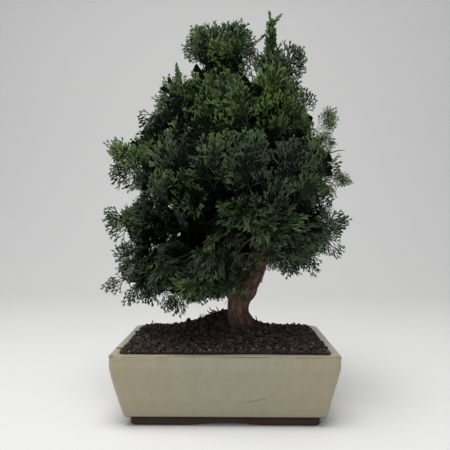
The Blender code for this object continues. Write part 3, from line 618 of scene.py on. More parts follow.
def glaze_finish():
    """Cream glaze going to celadon, thin and brown along the rim, with specks, pin holes and a scratch."""
    finish = Finish("glaze", Coat_Roughness=0.10, IOR=1.5)
    at = finish.place()
    height = finish.split(at, 2) - POT_MIDDLE.z
    x = finish.split(at, 0) - POT_MIDDLE.x
    slope = finish.split(finish.node("NewGeometry", output=1), 2)

    # Cream at the ends, celadon in the middle, with runs down the wall
    cloud = finish.grain(at, 9.0, 2.0)
    mottle = finish.grain(at, 85.0, 4.0)
    run = finish.grain(finish.scaled(at, (260.0, 260.0, 12.0)), 1.0, 3.0)
    from_middle = finish.maths("ABSOLUTE", x - CELADON_MIDDLE) + (cloud - 0.5) * 0.09
    colour = finish.mixed(finish.fading(from_middle, 0.02, 0.125), GLAZE_CREAM, GLAZE_CELADON)
    colour = finish.mixed(finish.ranged(mottle, 0.40, 0.66, 0.0, 0.16), colour, GLAZE_SPOTS)
    colour = finish.mixed(finish.ranged(run, 0.42, 0.66, 0.0, 0.22), colour, GLAZE_RUNS)
    low_wall = finish.fading(height + (run - 0.5) * 0.02, 0.010, 0.034)
    colour = finish.mixed(low_wall * 0.30, colour, GLAZE_LOW)

    # The broken brown line under the rim, and the thin glaze over its edge
    level = height + (finish.grain(at, 60.0, 2.0) - 0.5) * 0.0020
    line = (finish.ranged(level, RIM_LINE - 0.0011, RIM_LINE - 0.0004)
            * finish.fading(level, RIM_LINE + 0.0003, RIM_LINE + 0.0009)
            * finish.fading(slope, 0.75, 0.92))
    edge = (finish.ranged(slope, 0.25, 0.55) * finish.fading(slope, 0.80, 0.98)
            * finish.ranged(height, POT_HEIGHT - 0.0022, POT_HEIGHT - 0.0010))
    broken = finish.ranged(finish.grain(at, 38.0, 3.0), 0.36, 0.52, 0.35, 1.0)
    colour = finish.mixed(line * broken * 0.85, colour, RIM_BROWN)
    colour = finish.mixed(edge * 0.35, colour, EDGE_BROWN)

    # Iron specks, pin holes and the scratch
    rare = finish.grain(at, 34.0, 1.0)
    speck = finish.fading(finish.cells(at, 150.0), 0.07, 0.15) * finish.ranged(rare, 0.58, 0.63)
    pits = finish.fading(finish.cells(at, 210.0), 0.05, 0.11) * finish.ranged(rare, 0.44, 0.40)
    colour = finish.mixed(finish.ranged(speck + pits, 0.0, 1.0) * 0.8, colour, SPECK_BROWN)
    slant = height - SCRATCH[1] - (x - SCRATCH[0]) * 0.24 - (finish.grain(at, 60.0, 1.0) - 0.5) * 0.003
    scratch = (finish.fading(finish.maths("ABSOLUTE", slant), 0.0002, 0.0006)
               * finish.fading(finish.maths("ABSOLUTE", x - SCRATCH[0]), 0.010, 0.013)
               * finish.fading(finish.split(at, 1), -0.02, 0.0))
    colour = finish.mixed(scratch * 0.55, colour, SCRATCH_BROWN)

    # The bare clay of the foot, darkened towards its top by painted shade under the wall
    bare = finish.fading(height, FOOT_HEIGHT + 0.0008, FOOT_HEIGHT + 0.0016)
    shade_under_wall = finish.ranged(height, 0.0002, FOOT_HEIGHT - 0.0020) * 0.9
    clay = finish.mixed(finish.grain(at, 220.0), *FOOT_CLAY)
    colour = finish.mixed(bare, colour, finish.mixed(shade_under_wall, clay, FOOT_SHADE))
    relief = mottle * 0.5 + finish.grain(at, 26.0, 2.0) * 1.4 - pits * 1.2 - scratch * 0.6
    roughness = finish.ranged(mottle, 0.35, 0.65, 0.26, 0.38) + bare * 0.45
    return finish.set(Base_Color=colour, Roughness=roughness, Coat_Weight=(1.0 - bare) * 0.35,
                      Normal=finish.bump(relief, 0.0006))


def bark_finish(name, deep, body, light, stretch):
    """Fibrous bark in long strips, dark near the ground. The UV map holds the turn round the limb and the
    length along it."""
    finish = Finish(name)
    uv = finish.node("UVMap", {"uv_map": "limb"})
    turn = finish.split(uv, 0) * math.tau
    along = finish.split(uv, 1)
    round_limb = finish.node("CombineXYZ", values={
        0: finish.maths("COSINE", turn), 1: finish.maths("SINE", turn), 2: along * stretch})
    strips = finish.grain(round_limb, 3.2, 5.0, 0.62, 0.5)
    fibres = finish.grain(finish.scaled(round_limb, (1.0, 1.0, 0.5)), 13.0, 4.0, 0.6)
    patches = finish.grain(finish.place(), 75.0, 2.0)
    tone = strips * 0.55 + fibres * 0.45
    colour = finish.ramp(tone, (0.38, deep), (0.49, body), (0.61, light))
    colour = finish.mixed(finish.ranged(patches, 0.52, 0.74, 0.0, 0.35), colour, light)
    height = finish.split(finish.place(), 2) - POT_MIDDLE.z + (patches - 0.5) * 0.016
    colour = finish.mixed(finish.fading(height, GROUND + 0.010, GROUND + 0.034, 0.85), colour, deep)
    normal = finish.bump(strips * 0.7 + fibres * 0.6, 0.0014)
    return finish.set(Base_Color=colour, Roughness=0.82, Normal=normal)


def crumb_finish(name, dark, light, scale, roughness=0.9, depth=0.0006):
    """A mineral or rotted-bark crumb, mottled from dark to light."""
    finish = Finish(name)
    at = finish.place()
    spots = finish.grain(at, scale, 3.0)
    fine = finish.grain(at, scale * 6.0, 2.0)
    colour = finish.mixed(finish.ranged(spots, 0.35, 0.68), dark, light)
    colour = finish.mixed(fine * 0.35, colour, tuple(c * 0.4 for c in dark))
    return finish.set(Base_Color=colour, Roughness=roughness, Normal=finish.bump(fine, depth))


def plain_finish(name, colour, roughness, **constants):
    """A plain base colour, as small leaves get."""
    return Finish(name, **constants).set(Base_Color=colour, Roughness=roughness)


def leaf_finish(name, colour):
    """A waxy scale leaf in one plain green."""
    return plain_finish(name, colour, 0.50, Specular_IOR_Level=0.10)


def linked(name, data):
    """A new object in the scene."""
    made = bpy.data.objects.new(name, data)
    bpy.context.scene.collection.objects.link(made)
    return made


def in_place(name, work, material, nodes=()):
    """A bmesh, moved to where the plant stands, as a piece of the one body."""
    bmesh.ops.recalc_face_normals(work, faces=work.faces)
    bmesh.ops.translate(work, vec=POT_MIDDLE, verts=work.verts)
    mesh = bpy.data.meshes.new(name)
    work.to_mesh(mesh)
    work.free()
    piece(name, mesh, material, nodes)


def piece(name, mesh, material, nodes=()):
    """A mesh as a piece of the one body, in place of the nodes that it stands for."""
    made = linked(name, mesh)
    mesh.materials.append(material)
    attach(made, "root")
    if nodes:
        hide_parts(*nodes)


def mesh_of(name, points, triangles):
    """A mesh of flat triangles from arrays."""
    mesh = bpy.data.meshes.new(name)
    mesh.vertices.add(len(points))
    mesh.vertices.foreach_set("co", points.astype(np.float32).ravel())
    mesh.loops.add(triangles.size)
    mesh.loops.foreach_set("vertex_index", triangles.astype(np.int32).ravel())
    mesh.polygons.add(len(triangles))
    mesh.polygons.foreach_set("loop_start", np.arange(0, triangles.size, 3, dtype=np.int32))
    mesh.polygons.foreach_set("use_smooth", np.zeros(len(triangles), bool))
    mesh.update(calc_edges=True)
    return mesh


def joined(name, shapes, material, nodes=()):
    """Pieces of under the triangle limit from a list of (points, triangles) arrays."""
    groups = [[]]
    count = 0
    for points, triangles in shapes:
        if count + len(triangles) > PIECE_TRIANGLES:
            groups.append([])
            count = 0
        groups[-1].append((points, triangles))
        count += len(triangles)
    for number, group in enumerate(groups, 1):
        starts = np.cumsum([0] + [len(points) for points, _ in group[:-1]])
        points = np.concatenate([points for points, _ in group]) + np.array(POT_MIDDLE)
        triangles = np.concatenate([tris + start for (_, tris), start in zip(group, starts)])
        label = f"{name}_{number}" if len(groups) > 1 else name
        piece(label, mesh_of(label, points, triangles), material, nodes)


def rim_wander(x, y, z):
    """The slight waviness of a hand-made pot."""
    return 0.0006 * noise.noise(Vector((x * 9, y * 9, z * 14))) * min(1.0, (z - UNDERSIDE) / 0.02)


def drawn_out(work, edges):
    """A row of edges extruded by one step: the new edges and their points."""
    grown = bmesh.ops.extrude_edge_only(work, edges=edges)["geom"]
    kinds = (bmesh.types.BMEdge, bmesh.types.BMVert)
    return [[part for part in grown if isinstance(part, kind)] for kind in kinds]


def pot_profile():
    """Steps inward and up from the foot: the outer wall, the rim and the inner wall."""
    top = POT_HEIGHT
    foot = WALL_TAPER + FOOT_INSET
    steps = [(foot, UNDERSIDE), (foot - 0.0006, UNDERSIDE + 0.0008), (foot - 0.0008, FOOT_HEIGHT - 0.0008),
             (foot - 0.0002, FOOT_HEIGHT), (WALL_TAPER + 0.0022, FOOT_HEIGHT),
             (WALL_TAPER + 0.0008, FOOT_HEIGHT + 0.0004)]
    for i in range(WALL_STEPS + 1):
        height = (FOOT_HEIGHT + 0.0016) * (1 - i / WALL_STEPS) + (top - 0.0056) * i / WALL_STEPS
        below = max(0.0, UPRIGHT_FROM - height) / (UPRIGHT_FROM - FOOT_HEIGHT - 0.0016)
        steps.append((0.0004 + (WALL_TAPER - 0.0004) * (below ** WALL_CURVE), height))
    return steps + [
        (0.0003, top - 0.0044), (0.0, top - 0.0026), (0.0004, top - 0.0012), (0.0012, top - 0.0004),
        (0.0026, top), (0.0050, top + 0.00015), (RIM_WIDTH - 0.0030, top + 0.0001),
        (RIM_WIDTH - 0.0012, top - 0.0002), (RIM_WIDTH - 0.0002, top - 0.0012),
        (RIM_WIDTH + 0.0004, top - 0.0034), (RIM_WIDTH + 0.0040, top - 0.022),
        (RIM_WIDTH + WALL_TAPER, FOOT_HEIGHT + FLOOR_THICKNESS)]


def make_pot(material):
    """A rectangle with round corners, drawn up into the walls, over the rim and down inside."""
    work = bmesh.new()
    bmesh.ops.create_grid(work, x_segments=1, y_segments=1, size=0.5)
    steps = pot_profile()
    inset, height = steps[0]
    bmesh.ops.scale(work, vec=(POT_WIDTH - 2 * inset, POT_DEPTH - 2 * inset, 1.0), verts=work.verts)
    bmesh.ops.translate(work, vec=(0, 0, height), verts=work.verts)
    bmesh.ops.bevel(work, geom=list(work.verts), offset=CORNER_RADIUS, segments=CORNER_STEPS, profile=0.5,
                    affect="VERTICES", material=-1)
    sides = [edge for edge in work.edges if edge.calc_length() > 0.05]
    bmesh.ops.subdivide_edges(work, edges=sides, cuts=SIDE_CUTS)
    bmesh.ops.delete(work, geom=list(work.faces), context="FACES_ONLY")
    edges = first = list(work.edges)
    for new_inset, new_height in steps[1:]:
        edges, verts = drawn_out(work, edges)
        scale = ((POT_WIDTH - 2 * new_inset) / (POT_WIDTH - 2 * inset),
                 (POT_DEPTH - 2 * new_inset) / (POT_DEPTH - 2 * inset), 1.0)
        bmesh.ops.scale(work, vec=scale, verts=verts)
        bmesh.ops.translate(work, vec=(0, 0, new_height - height), verts=verts)
        inset, height = new_inset, new_height
    bmesh.ops.contextual_create(work, geom=edges)
    sole = bmesh.ops.contextual_create(work, geom=first)["faces"][0]
    bmesh.ops.inset_region(work, faces=[sole], thickness=FOOT_WIDTH, use_even_offset=True)
    edges, verts = drawn_out(work, list(sole.edges))
    bmesh.ops.delete(work, geom=[sole], context="FACES_ONLY")
    bmesh.ops.translate(work, vec=(0, 0, FOOT_HEIGHT - 0.001 - UNDERSIDE), verts=verts)
    bmesh.ops.contextual_create(work, geom=edges)
    for vert in work.verts:
        if vert.co.z < UNDERSIDE + 0.002:
            vert.co.z += foot_arch(vert.co)
        away = Vector((vert.co.x, vert.co.y, 0)).normalized()
        vert.co += away * rim_wander(*vert.co)
        if vert.co.z > POT_HEIGHT - 0.01:
            vert.co.z += RIM_WAVE * noise.noise(Vector((vert.co.x * 14, vert.co.y * 14, 3.0)))
    for face in work.faces:
        face.smooth = len(face.verts) < 8
    in_place("pot_glazed", work, material, ["pot"])


def foot_arch(point):
    """The long shallow wave in each side of the foot."""
    long_side = abs(point.y) > (POT_DEPTH / 2 - WALL_TAPER - FOOT_INSET - FOOT_WIDTH - 0.001)
    across = point.x / FOOT_ARCH_SPANS[0] if long_side else point.y / FOOT_ARCH_SPANS[1]
    if abs(across) > 0.5:
        return 0.0
    bulge = math.cos(math.pi * across) ** 2
    return FOOT_ARCH_RISE * bulge * (1.6 - 0.6 * bulge)


def smooth_path(points, spans):
    """A Catmull-Rom curve through the points, with a number of steps in each span."""
    ends = [points[0] * 2 - points[1], *points, points[-1] * 2 - points[-2]]
    made = []
    for a, b, c, d in zip(ends, ends[1:], ends[2:], ends[3:]):
        for step in range(spans):
            t = step / spans
            made.append(0.5 * (2 * b + (c - a) * t + (2 * a - 5 * b + 4 * c - d) * t * t
                               + (3 * b - a - 3 * c + d) * t ** 3))
    return [*made, points[-1]]


def trunk_at(z):
    """The point on the trunk's line at a height, and its radius there."""
    for low, high in zip(TRUNK, TRUNK[1:]):
        if low[2] <= z <= high[2]:
            t = (z - low[2]) / (high[2] - low[2])
            return Vector(low[:3]).lerp(Vector(high[:3]), t), low[3] + (high[3] - low[3]) * t
    return Vector(TRUNK[-1][:3]), TRUNK[-1][3]


class Space:
    """The space that one mass of foliage keeps to, tested on arrays of points."""

    def __init__(self, mass):
        self.mass = mass
        self.middle = np.array(mass.middle)
        self.reach = np.array(mass.reach)
        others = [other for other in MASSES if other.name != mass.name]
        spans = np.array([other.middle for other in others]) - self.middle
        lengths = np.linalg.norm(spans, axis=1)
        weights = np.array([sum(other.reach) ** 2 / 9 for other in others])
        balance = (lengths ** 2 + sum(mass.reach) ** 2 / 9 - weights) / (2 * lengths)
        self.normals = spans / lengths[:, None]
        self.offsets = self.normals @ self.middle + balance

    def within_walls(self, points, margin=0.0):
        """Whether points are on this side of the walls between this space and the others."""
        return (points @ self.normals.T < self.offsets - margin).all(axis=-1)

    def in_reach(self, points, slack):
        return (((points - self.middle) / (self.reach + slack)) ** 2).sum(axis=-1) < 1.0

    def inside(self, points, slack=0.0):
        """Whether points are in the space, which the slack widens at its open side."""
        open_space = (self.in_reach(points, slack) | in_body(points, slack - VALLEY)) & ~in_sky_gap(points)
        return self.within_walls(points) & open_space

    def march(self, starts, ways):
        """How far each line goes before it leaves the space."""
        far = np.zeros(len(starts))
        going = np.ones(len(starts), bool)
        while going.any():
            ahead = starts + ways * (far + STEP)[:, None]
            going &= self.inside(ahead)
            far[going] += STEP
        return far


def in_body(points, slack):
    """Whether points are in the inner body of the crown."""
    stations = np.array(CROWN).T
    z = points[..., 2]
    middle, wide, deep = (np.interp(z, stations[0], row) for row in stations[1:])
    level = (z > stations[0][0] - slack) & (z < stations[0][-1] + slack)
    across, back = (points[..., 0] - middle) / (wide + slack), points[..., 1] / (deep + slack)
    return level & (across ** 2 + back ** 2 < 1.0)


def in_crown(points, slack):
    """Whether points are in the crown: in the reach of any mass or in the inner body."""
    found = in_body(points, slack - VALLEY)
    for mass in MASSES:
        found |= (((points - mass.middle) / (np.array(mass.reach) + slack)) ** 2).sum(axis=-1) < 1.0
    return found & ~in_sky_gap(points)


def in_sky_gap(points):
    """Whether points lie in one of the gaps, seen from where the camera stands."""
    eye = np.array(CAMERA_PLACE)
    depth = (points[..., 1] - eye[1]) / -eye[1]
    found = np.zeros(points.shape[:-1], bool)
    for x, z, radius in SKY_GAPS:
        across = (points[..., 0] - eye[0]) / depth + eye[0] - x
        above = (points[..., 2] - eye[2]) / depth + eye[2] - z
        found |= across ** 2 + above ** 2 < radius ** 2
    return found


def bough_path(space):
    """A limb that leaves the trunk, sags a little and turns up as it reaches its mass."""
    mass = space.mass
    start, radius = trunk_at(mass.leaves)
    begin = start
    if mass.through:
        begin = Vector(mass.through[-1])
        radius = 0.0
    middle = Vector(mass.middle)
    span = begin - middle
    way = np.array(span.normalized())
    far = 0.0
    while True:
        ahead = np.array([space.middle + way * (far + STEP)])
        entry = (((ahead - space.middle) / space.reach) ** 2).sum() < ENTRY_SHARE ** 2
        if not (entry and space.within_walls(ahead, ENTRY_MARGIN)[0]):
            break
        far += STEP
    end = middle + span.normalized() * min(far, span.length - radius - LEAST_BOUGH)
    if mass.through:
        return smooth_path([start, *map(Vector, mass.through), end], 5)
    span = end - start
    low = start.lerp(end, 0.5) - Vector((0, 0, BOUGH_SAG * span.length * 0.5))
    return smooth_path([start, low, end], 8)


def limb_mesh(work, path, radii, sides, relief):
    """Adds a limb to the bmesh: a ring is drawn out along the path, and the UV map holds turn and length."""
    uv = work.loops.layers.uv.get("limb") or work.loops.layers.uv.new("limb")
    ring = bmesh.ops.create_circle(work, segments=sides, radius=1.0, cap_ends=False)["verts"]
    edges = list({edge for vert in ring for edge in vert.link_edges})
    where = {}
    across = Vector((0, 1, 0))
    length = 0.0
    for i, point in enumerate(path):
        if i:
            length += (point - path[i - 1]).length
            edges, new = drawn_out(work, edges)
            before = {vert: side for side, vert in enumerate(ring)}
            for vert in new:
                old = next(old for edge in vert.link_edges if (old := edge.other_vert(vert)) in before)
                ring[before[old]] = vert
        ahead = (path[min(i + 1, len(path) - 1)] - path[max(i - 1, 0)]).normalized()
        if abs(ahead.dot(across)) > 0.95:
            across = ahead.orthogonal()
        across = (across - ahead * across.dot(ahead)).normalized()
        other = ahead.cross(across)
        for side, vert in enumerate(ring):
            angle = math.tau * side / sides
            radius = radii[i] + relief(angle, length, radii[i], point.z)
            vert.co = point + radius * (across * math.cos(angle) + other * math.sin(angle))
            where[vert] = (side, length)
    for vert, (side, far) in where.items():
        for loop in vert.link_loops:
            beside = [where[v][0] for v in loop.face.verts]
            turn = sides if side == 0 and sides - 1 in beside else side
            loop[uv].uv = (turn / sides, far)


def trunk_relief(angle, length, radius, height):
    """Root flare, flutes that run up from the roots, then fibrous strips and knots up the trunk."""
    low = max(0.0, 1 - (height - GROUND) / FLARE_HEIGHT)
    x, y = math.cos(angle), math.sin(angle)
    flare = radius * FLARE_DEPTH * low * math.cos(FLARE_LOBES * (angle - math.pi / 2) + 0.6)
    flutes = noise.noise(Vector((x * 2.6, y * 2.6, length * 9 + 4.0)))
    strips = noise.noise(Vector((x * 5.5 + flutes * 0.5, y * 5.5, length * 20)))
    fibres = noise.noise(Vector((x * 16.0, y * 16.0, length * 55)))
    knots = max(0.0, noise.noise(Vector((x * 1.5, y * 1.5, length * 48 + 9.0))) - 0.18)
    ridge = 1.0 - abs(strips) * 2.6
    size = min(1.0, radius / 0.011)
    flute_depth = 0.0022 + 0.0016 * low
    return flare + size * (flute_depth * flutes + 0.0013 * ridge - 0.0006 + 0.0006 * fibres + 0.0050 * knots)


def bough_relief(angle, length, radius, height):
    """Knots and strips on a young limb, in proportion to its radius."""
    x, y = math.cos(angle), math.sin(angle)
    knots = noise.noise(Vector((x * 1.2, y * 1.2, length * 70 + height * 9)))
    strips = noise.noise(Vector((x * 3.8, y * 3.8, length * 60 + height * 17)))
    return radius * (0.34 * knots + 0.20 * strips)


def make_wood(spaces, bark, young_bark):
    """The trunk, and every bough as its own limb."""
    path = smooth_path([Vector(station[:3]) for station in TRUNK], TRUNK_SPANS)
    radii = [p.x for p in smooth_path([Vector((station[3], 0, 0)) for station in TRUNK], TRUNK_SPANS)]
    work = bmesh.new()
    limb_mesh(work, path, radii, TRUNK_SIDES, trunk_relief)
    finish_limbs(work, "trunk_bark", bark, ["trunk"])
    work = bmesh.new()
    names = []
    for space in spaces:
        if space.mass.leaves is None:
            continue
        path = bough_path(space)
        last = len(path) - 1
        start = space.mass.bough
        share = FRONT_BOUGH_SHARE if space.mass.name == "front_low" else 1.0
        radii = [(start + (BOUGH_TIP - start) * i / last) * share for i in range(last + 1)]
        limb_mesh(work, path, radii, BOUGH_SIDES, bough_relief)
        names.append(space.mass.name + "_bough")
    finish_limbs(work, "boughs_bark", young_bark, names)
    work = bmesh.new()
    for radius, *points in BARE_TWIGS:
        path = smooth_path([Vector(point) for point in points], 6)
        radii = [radius * (1.0 - 0.65 * i / (len(path) - 1)) for i in range(len(path))]
        limb_mesh(work, path, radii, BARE_TWIG_SIDES, bough_relief)
    finish_limbs(work, "bare_twigs", young_bark, ())


def finish_limbs(work, name, material, nodes):
    """Limbs with their ends closed, as one piece."""
    bmesh.ops.holes_fill(work, edges=[e for e in work.edges if e.is_boundary], sides=0)
    for face in work.faces:
        face.smooth = True
    in_place(name, work, material, nodes)


# One branchlet, a low ridge on a flat strip: right edge, left edge and the top of the ridge
BRANCHLET_TRIANGLES = np.array(((0, 1, 4), (1, 2, 4), (2, 3, 4), (3, 0, 4), (0, 3, 2), (0, 2, 1)))


def branchlet_solids(rows):
    """Points of many branchlets, from rows of base, way, length and the widths at base and tip."""
    rows = np.array(rows)
    base, way = rows[:, 0:3], rows[:, 3:6]
    length, wide, end = rows[:, 6:7], rows[:, 7:8], rows[:, 8:9]
    side = unit(np.cross((0.0, 0.0, 1.0), way)) / 2
    tip = base + way * length
    top = base + way * length * RIDGE_AT + np.cross(way, side) * (wide + end) * RIDGE_HEIGHT
    return np.stack((base - side * wide, tip - side * end, tip + side * end, base + side * wide, top), axis=1)


def fan_template(seed, levels, side_share, open_angle, width, finger):
    """One flat fan of unit length along X: a leader that forks to either side by turns, each side branch
    doing the same, down to blunt forked fingers that bend back to the fan's own way."""
    draw = random.Random(seed)
    rows = []

    def add(x, y, angle, length, wide, end):
        way = Vector((math.cos(angle), math.sin(angle), draw.uniform(-0.28, 0.28))).normalized()
        rows.append((x, y, draw.uniform(-0.022, 0.022), *way, length, wide, end))

    def grow(x, y, angle, length, level, hand):
        length *= draw.uniform(0.86, 1.12)
        ahead = Vector((math.cos(angle), math.sin(angle))) * length
        if level <= 0:
            add(x - ahead.x * 0.10, y - ahead.y * 0.10, angle, length * finger, width * 0.85, width * 0.85)
            far = draw.uniform(0.15, 0.55)
            add(x + ahead.x * far, y + ahead.y * far, angle - hand * math.radians(draw.uniform(24, 38)),
                length * finger * draw.uniform(0.45, 0.70), width * 0.7, width * 0.8)
            return
        add(x - ahead.x * 0.08, y - ahead.y * 0.08, angle, length * 1.14, width * 0.95, width * 0.80)
        x += ahead.x
        y += ahead.y
        turn = math.radians(open_angle) * draw.uniform(0.8, 1.2)
        grow(x, y, angle * BEND_BACK + hand * turn, length * side_share, level - 2, hand)
        angle = angle * BEND_BACK - hand * turn * draw.uniform(0.10, 0.35)
        grow(x, y, angle, length * 0.93, level - 1, -hand)

    grow(0.0, 0.0, 0.0, 0.2, levels, draw.choice((-1, 1)))
    solids = branchlet_solids(rows)
    ends = solids[:, 1:3].mean(axis=1)
    solids /= ends[:, 0].max()
    # The outer branchlets are the tips, which get the lighter tip colours: partly fresh growth and partly
    # painted highlight on the lit edges.
    outer = ends[:, 0] * 0.75 + np.abs(ends[:, 1]) * 0.9 + np.array([draw.gauss(0, 0.12) for _ in rows])
    return solids, outer > np.quantile(outer, TIP_QUANTILE)


def kind_names(kind):
    """The names of the templates of one kind of fan."""
    return [f"{kind}_{i}" for i in range(FAN_KINDS[kind][0])]


def unit(vectors):
    """Vectors brought to a length of 1."""
    return vectors / np.maximum(np.linalg.norm(vectors, axis=-1, keepdims=True), 1e-9)


class Sprays:
    """Fans gathered by colour, then made into joined pieces."""

    def __init__(self, templates):
        self.templates = templates
        self.found = defaultdict(list)

    def add(self, colour, template, root, heading, normal, length, width=1.0, droop=0.0, cup=0.0):
        """Places one fan: its length, its width as a share, and how much it droops and cups."""
        solids, tips = self.templates[template]
        points = solids * length
        points[..., 1] *= width
        along, across = points[..., 0], points[..., 1]
        points[..., 2] -= droop * along ** 2 / length + cup * across ** 2 / length
        side = np.cross(normal, heading)
        placed = root + points @ np.stack((heading, side, normal))
        for tip in (False, True):
            chosen = placed[tips == tip]
            if len(chosen):
                starts = np.arange(len(chosen))[:, None, None] * solids.shape[1]
                triangles = (BRANCHLET_TRIANGLES[None] + starts).reshape(-1, 3)
                self.found[colour, tip].append((chosen.reshape(-1, 3), triangles))

    def make(self, finishes, names):
        """Joins the fans into pieces, fronds and tips of each colour apart; the tips are lighter, partly as
        painted highlight.
        """
        for (colour, tip), shapes in sorted(self.found.items()):
            kind = "tips" if tip else "fronds"
            joined(f"{kind}_{colour}", shapes, finishes[colour, tip], names)


def frame_for(heading, facing):
    """A spray's flat face turned as far as it goes towards the facing direction."""
    normal = facing - heading * np.dot(facing, heading)
    if np.linalg.norm(normal) < 0.15:
        normal = np.cross(heading, (0.3, 0.5, 0.8))
    return unit(normal)


def spread_directions(count):
    """Directions spread evenly over a ball."""
    i = np.arange(count)
    z = 1 - 2 * (i + 0.5) / count
    flat = np.sqrt(1 - z * z)
    angle = math.pi * (3 - math.sqrt(5)) * i
    return np.stack((flat * np.cos(angle), flat * np.sin(angle), z), axis=1)


def twig(path, radii, sides=4):
    """A thin tapering twig as points and triangles."""
    path = np.array(path)
    ways = unit(np.gradient(path, axis=0))
    across = unit(np.cross(ways, (0.31, 0.17, 0.93)))
    other = np.cross(ways, across)
    angles = np.arange(sides) * math.tau / sides
    rings = path[:, None] + np.array(radii)[:, None, None] * (
        across[:, None] * np.cos(angles)[None, :, None] + other[:, None] * np.sin(angles)[None, :, None])
    points = np.concatenate((rings.reshape(-1, 3), path[-1:] + ways[-1:] * radii[-1] * 2, path[:1]))
    triangles = []
    for i in range(len(path) - 1):
        for j in range(sides):
            a, b = i * sides + j, i * sides + (j + 1) % sides
            triangles += [(a, b, b + sides), (a, b + sides, a + sides)]
    last = (len(path) - 1) * sides
    for j in range(sides):
        k = (j + 1) % sides
        triangles += [(last + j, last + k, len(points) - 2), (k, j, len(points) - 1)]
    return points, np.array(triangles)


def bent_line(draw, start, end, count, wander):
    """A line with a few kinks, as twigs have."""
    t = np.linspace(0, 1, count)[:, None]
    line = start + (end - start) * t
    line[1:-1] += np.array([[draw.gauss(0, wander) for _ in range(3)] for _ in range(count - 2)])
    line[:, 2] -= (np.sin(t * math.pi) * np.linalg.norm(end - start) * 0.06)[:, 0]
    return line


def jitter(draw, size):
    """A small random step in any direction."""
    return np.array([draw.gauss(0, size) for _ in range(3)])


def to_front(draw, wander, lift=0.0):
    """Roughly the direction from which the photograph looks."""
    return np.array((draw.gauss(0, wander), -1.0, draw.gauss(lift, wander)))


def thinned(points, order, spacing):
    """Indices of points that keep a distance from each other, taken in the given order."""
    kept = []
    places = np.empty((0, 3))
    for i in order:
        if not kept or ((places - points[i]) ** 2).sum(axis=1).min() > spacing * spacing:
            kept.append(i)
            places = np.concatenate((places, points[i:i + 1]))
    return kept


def open_surface(spaces):
    """Points all over the crown's open surface: place, outward way and number of the space."""
    points, ways, owners = [], [], []
    for number, space in enumerate(spaces):
        out = spread_directions(SURFACE_RAYS)
        far = space.march(np.repeat(space.middle[None], len(out), 0), out)
        beyond = space.middle + out * (far + 0.003)[:, None]
        open_here = space.within_walls(beyond) & (far > 0.006)
        here = (space.middle + out * far[:, None])[open_here]
        by_reach = unit((here - space.middle) / space.reach ** 2)
        axis = np.array([trunk_at(min(max(z, 0.2), 0.38))[0] for z in here[:, 2]])
        by_crown = unit((here - axis) * (1.0, 1.0, 0.35))
        points.append(here)
        ways.append(unit(by_reach * 0.75 + by_crown * 0.45))
        owners.append(np.full(len(here), number))
    return np.concatenate(points), np.concatenate(ways), np.concatenate(owners)


def near(point, places):
    """The shares by which a point is inside balls of given places and radii, 1 at their middles."""
    return [max(0.0, 1.0 - float(np.linalg.norm(point - place[:3])) / place[3]) for place in places]


def tone_of(draw, point, own):
    """The greens dealt out by spray: partly fresher growth and partly painted light, lighter at the tufts,
    the top and the outside, and deep below as painted shade.
    """
    score = own + draw.gauss(0, 0.12)
    score += sum(share ** 0.5 * place[4] for share, place in zip(near(point, FRESHNESS_AND_PAINTED_LIGHT), FRESHNESS_AND_PAINTED_LIGHT))
    # Painted light and shade: greens darker low in the crown and lighter high up, where the top light falls.
    score += float(np.interp(point[2], (0.14, 0.24, 0.34, 0.44), (-0.16, -0.06, 0.06, 0.10)))
    return next(name for name, (limit, _, _) in GREENS_WITH_PAINTED_LIGHT.items() if score < limit)


Cluster = namedtuple("Cluster", "place hub axis flat tone")


def plan_cluster(draw, place, way):
    """A shell of fans: rising along the crown's surface above, sweeping out and down below."""
    rise = float(np.interp(place[2], (0.16, 0.22, 0.28, 0.36), (-0.40, -0.20, 0.60, 1.00)))
    aside = math.tanh((place[0] - 0.03) / 0.04) * float(np.interp(place[2], (0.22, 0.30), (0.7, 0.25)))
    axis = unit(way * 0.45 + (aside * (1.0 - abs(way[0])), 0.0, rise) + jitter(draw, 0.20))
    depth = draw.uniform(*CLUSTER_DEPTH)
    while depth > 0.012 and not in_crown((place - axis * depth)[None], -0.006)[0]:
        depth -= 0.004
    flat = draw.random() < 0.85 * (1.0 - abs(way[1])) ** 2
    return Cluster(place, place - axis * depth, axis, flat, draw.uniform(0.10, 0.72))


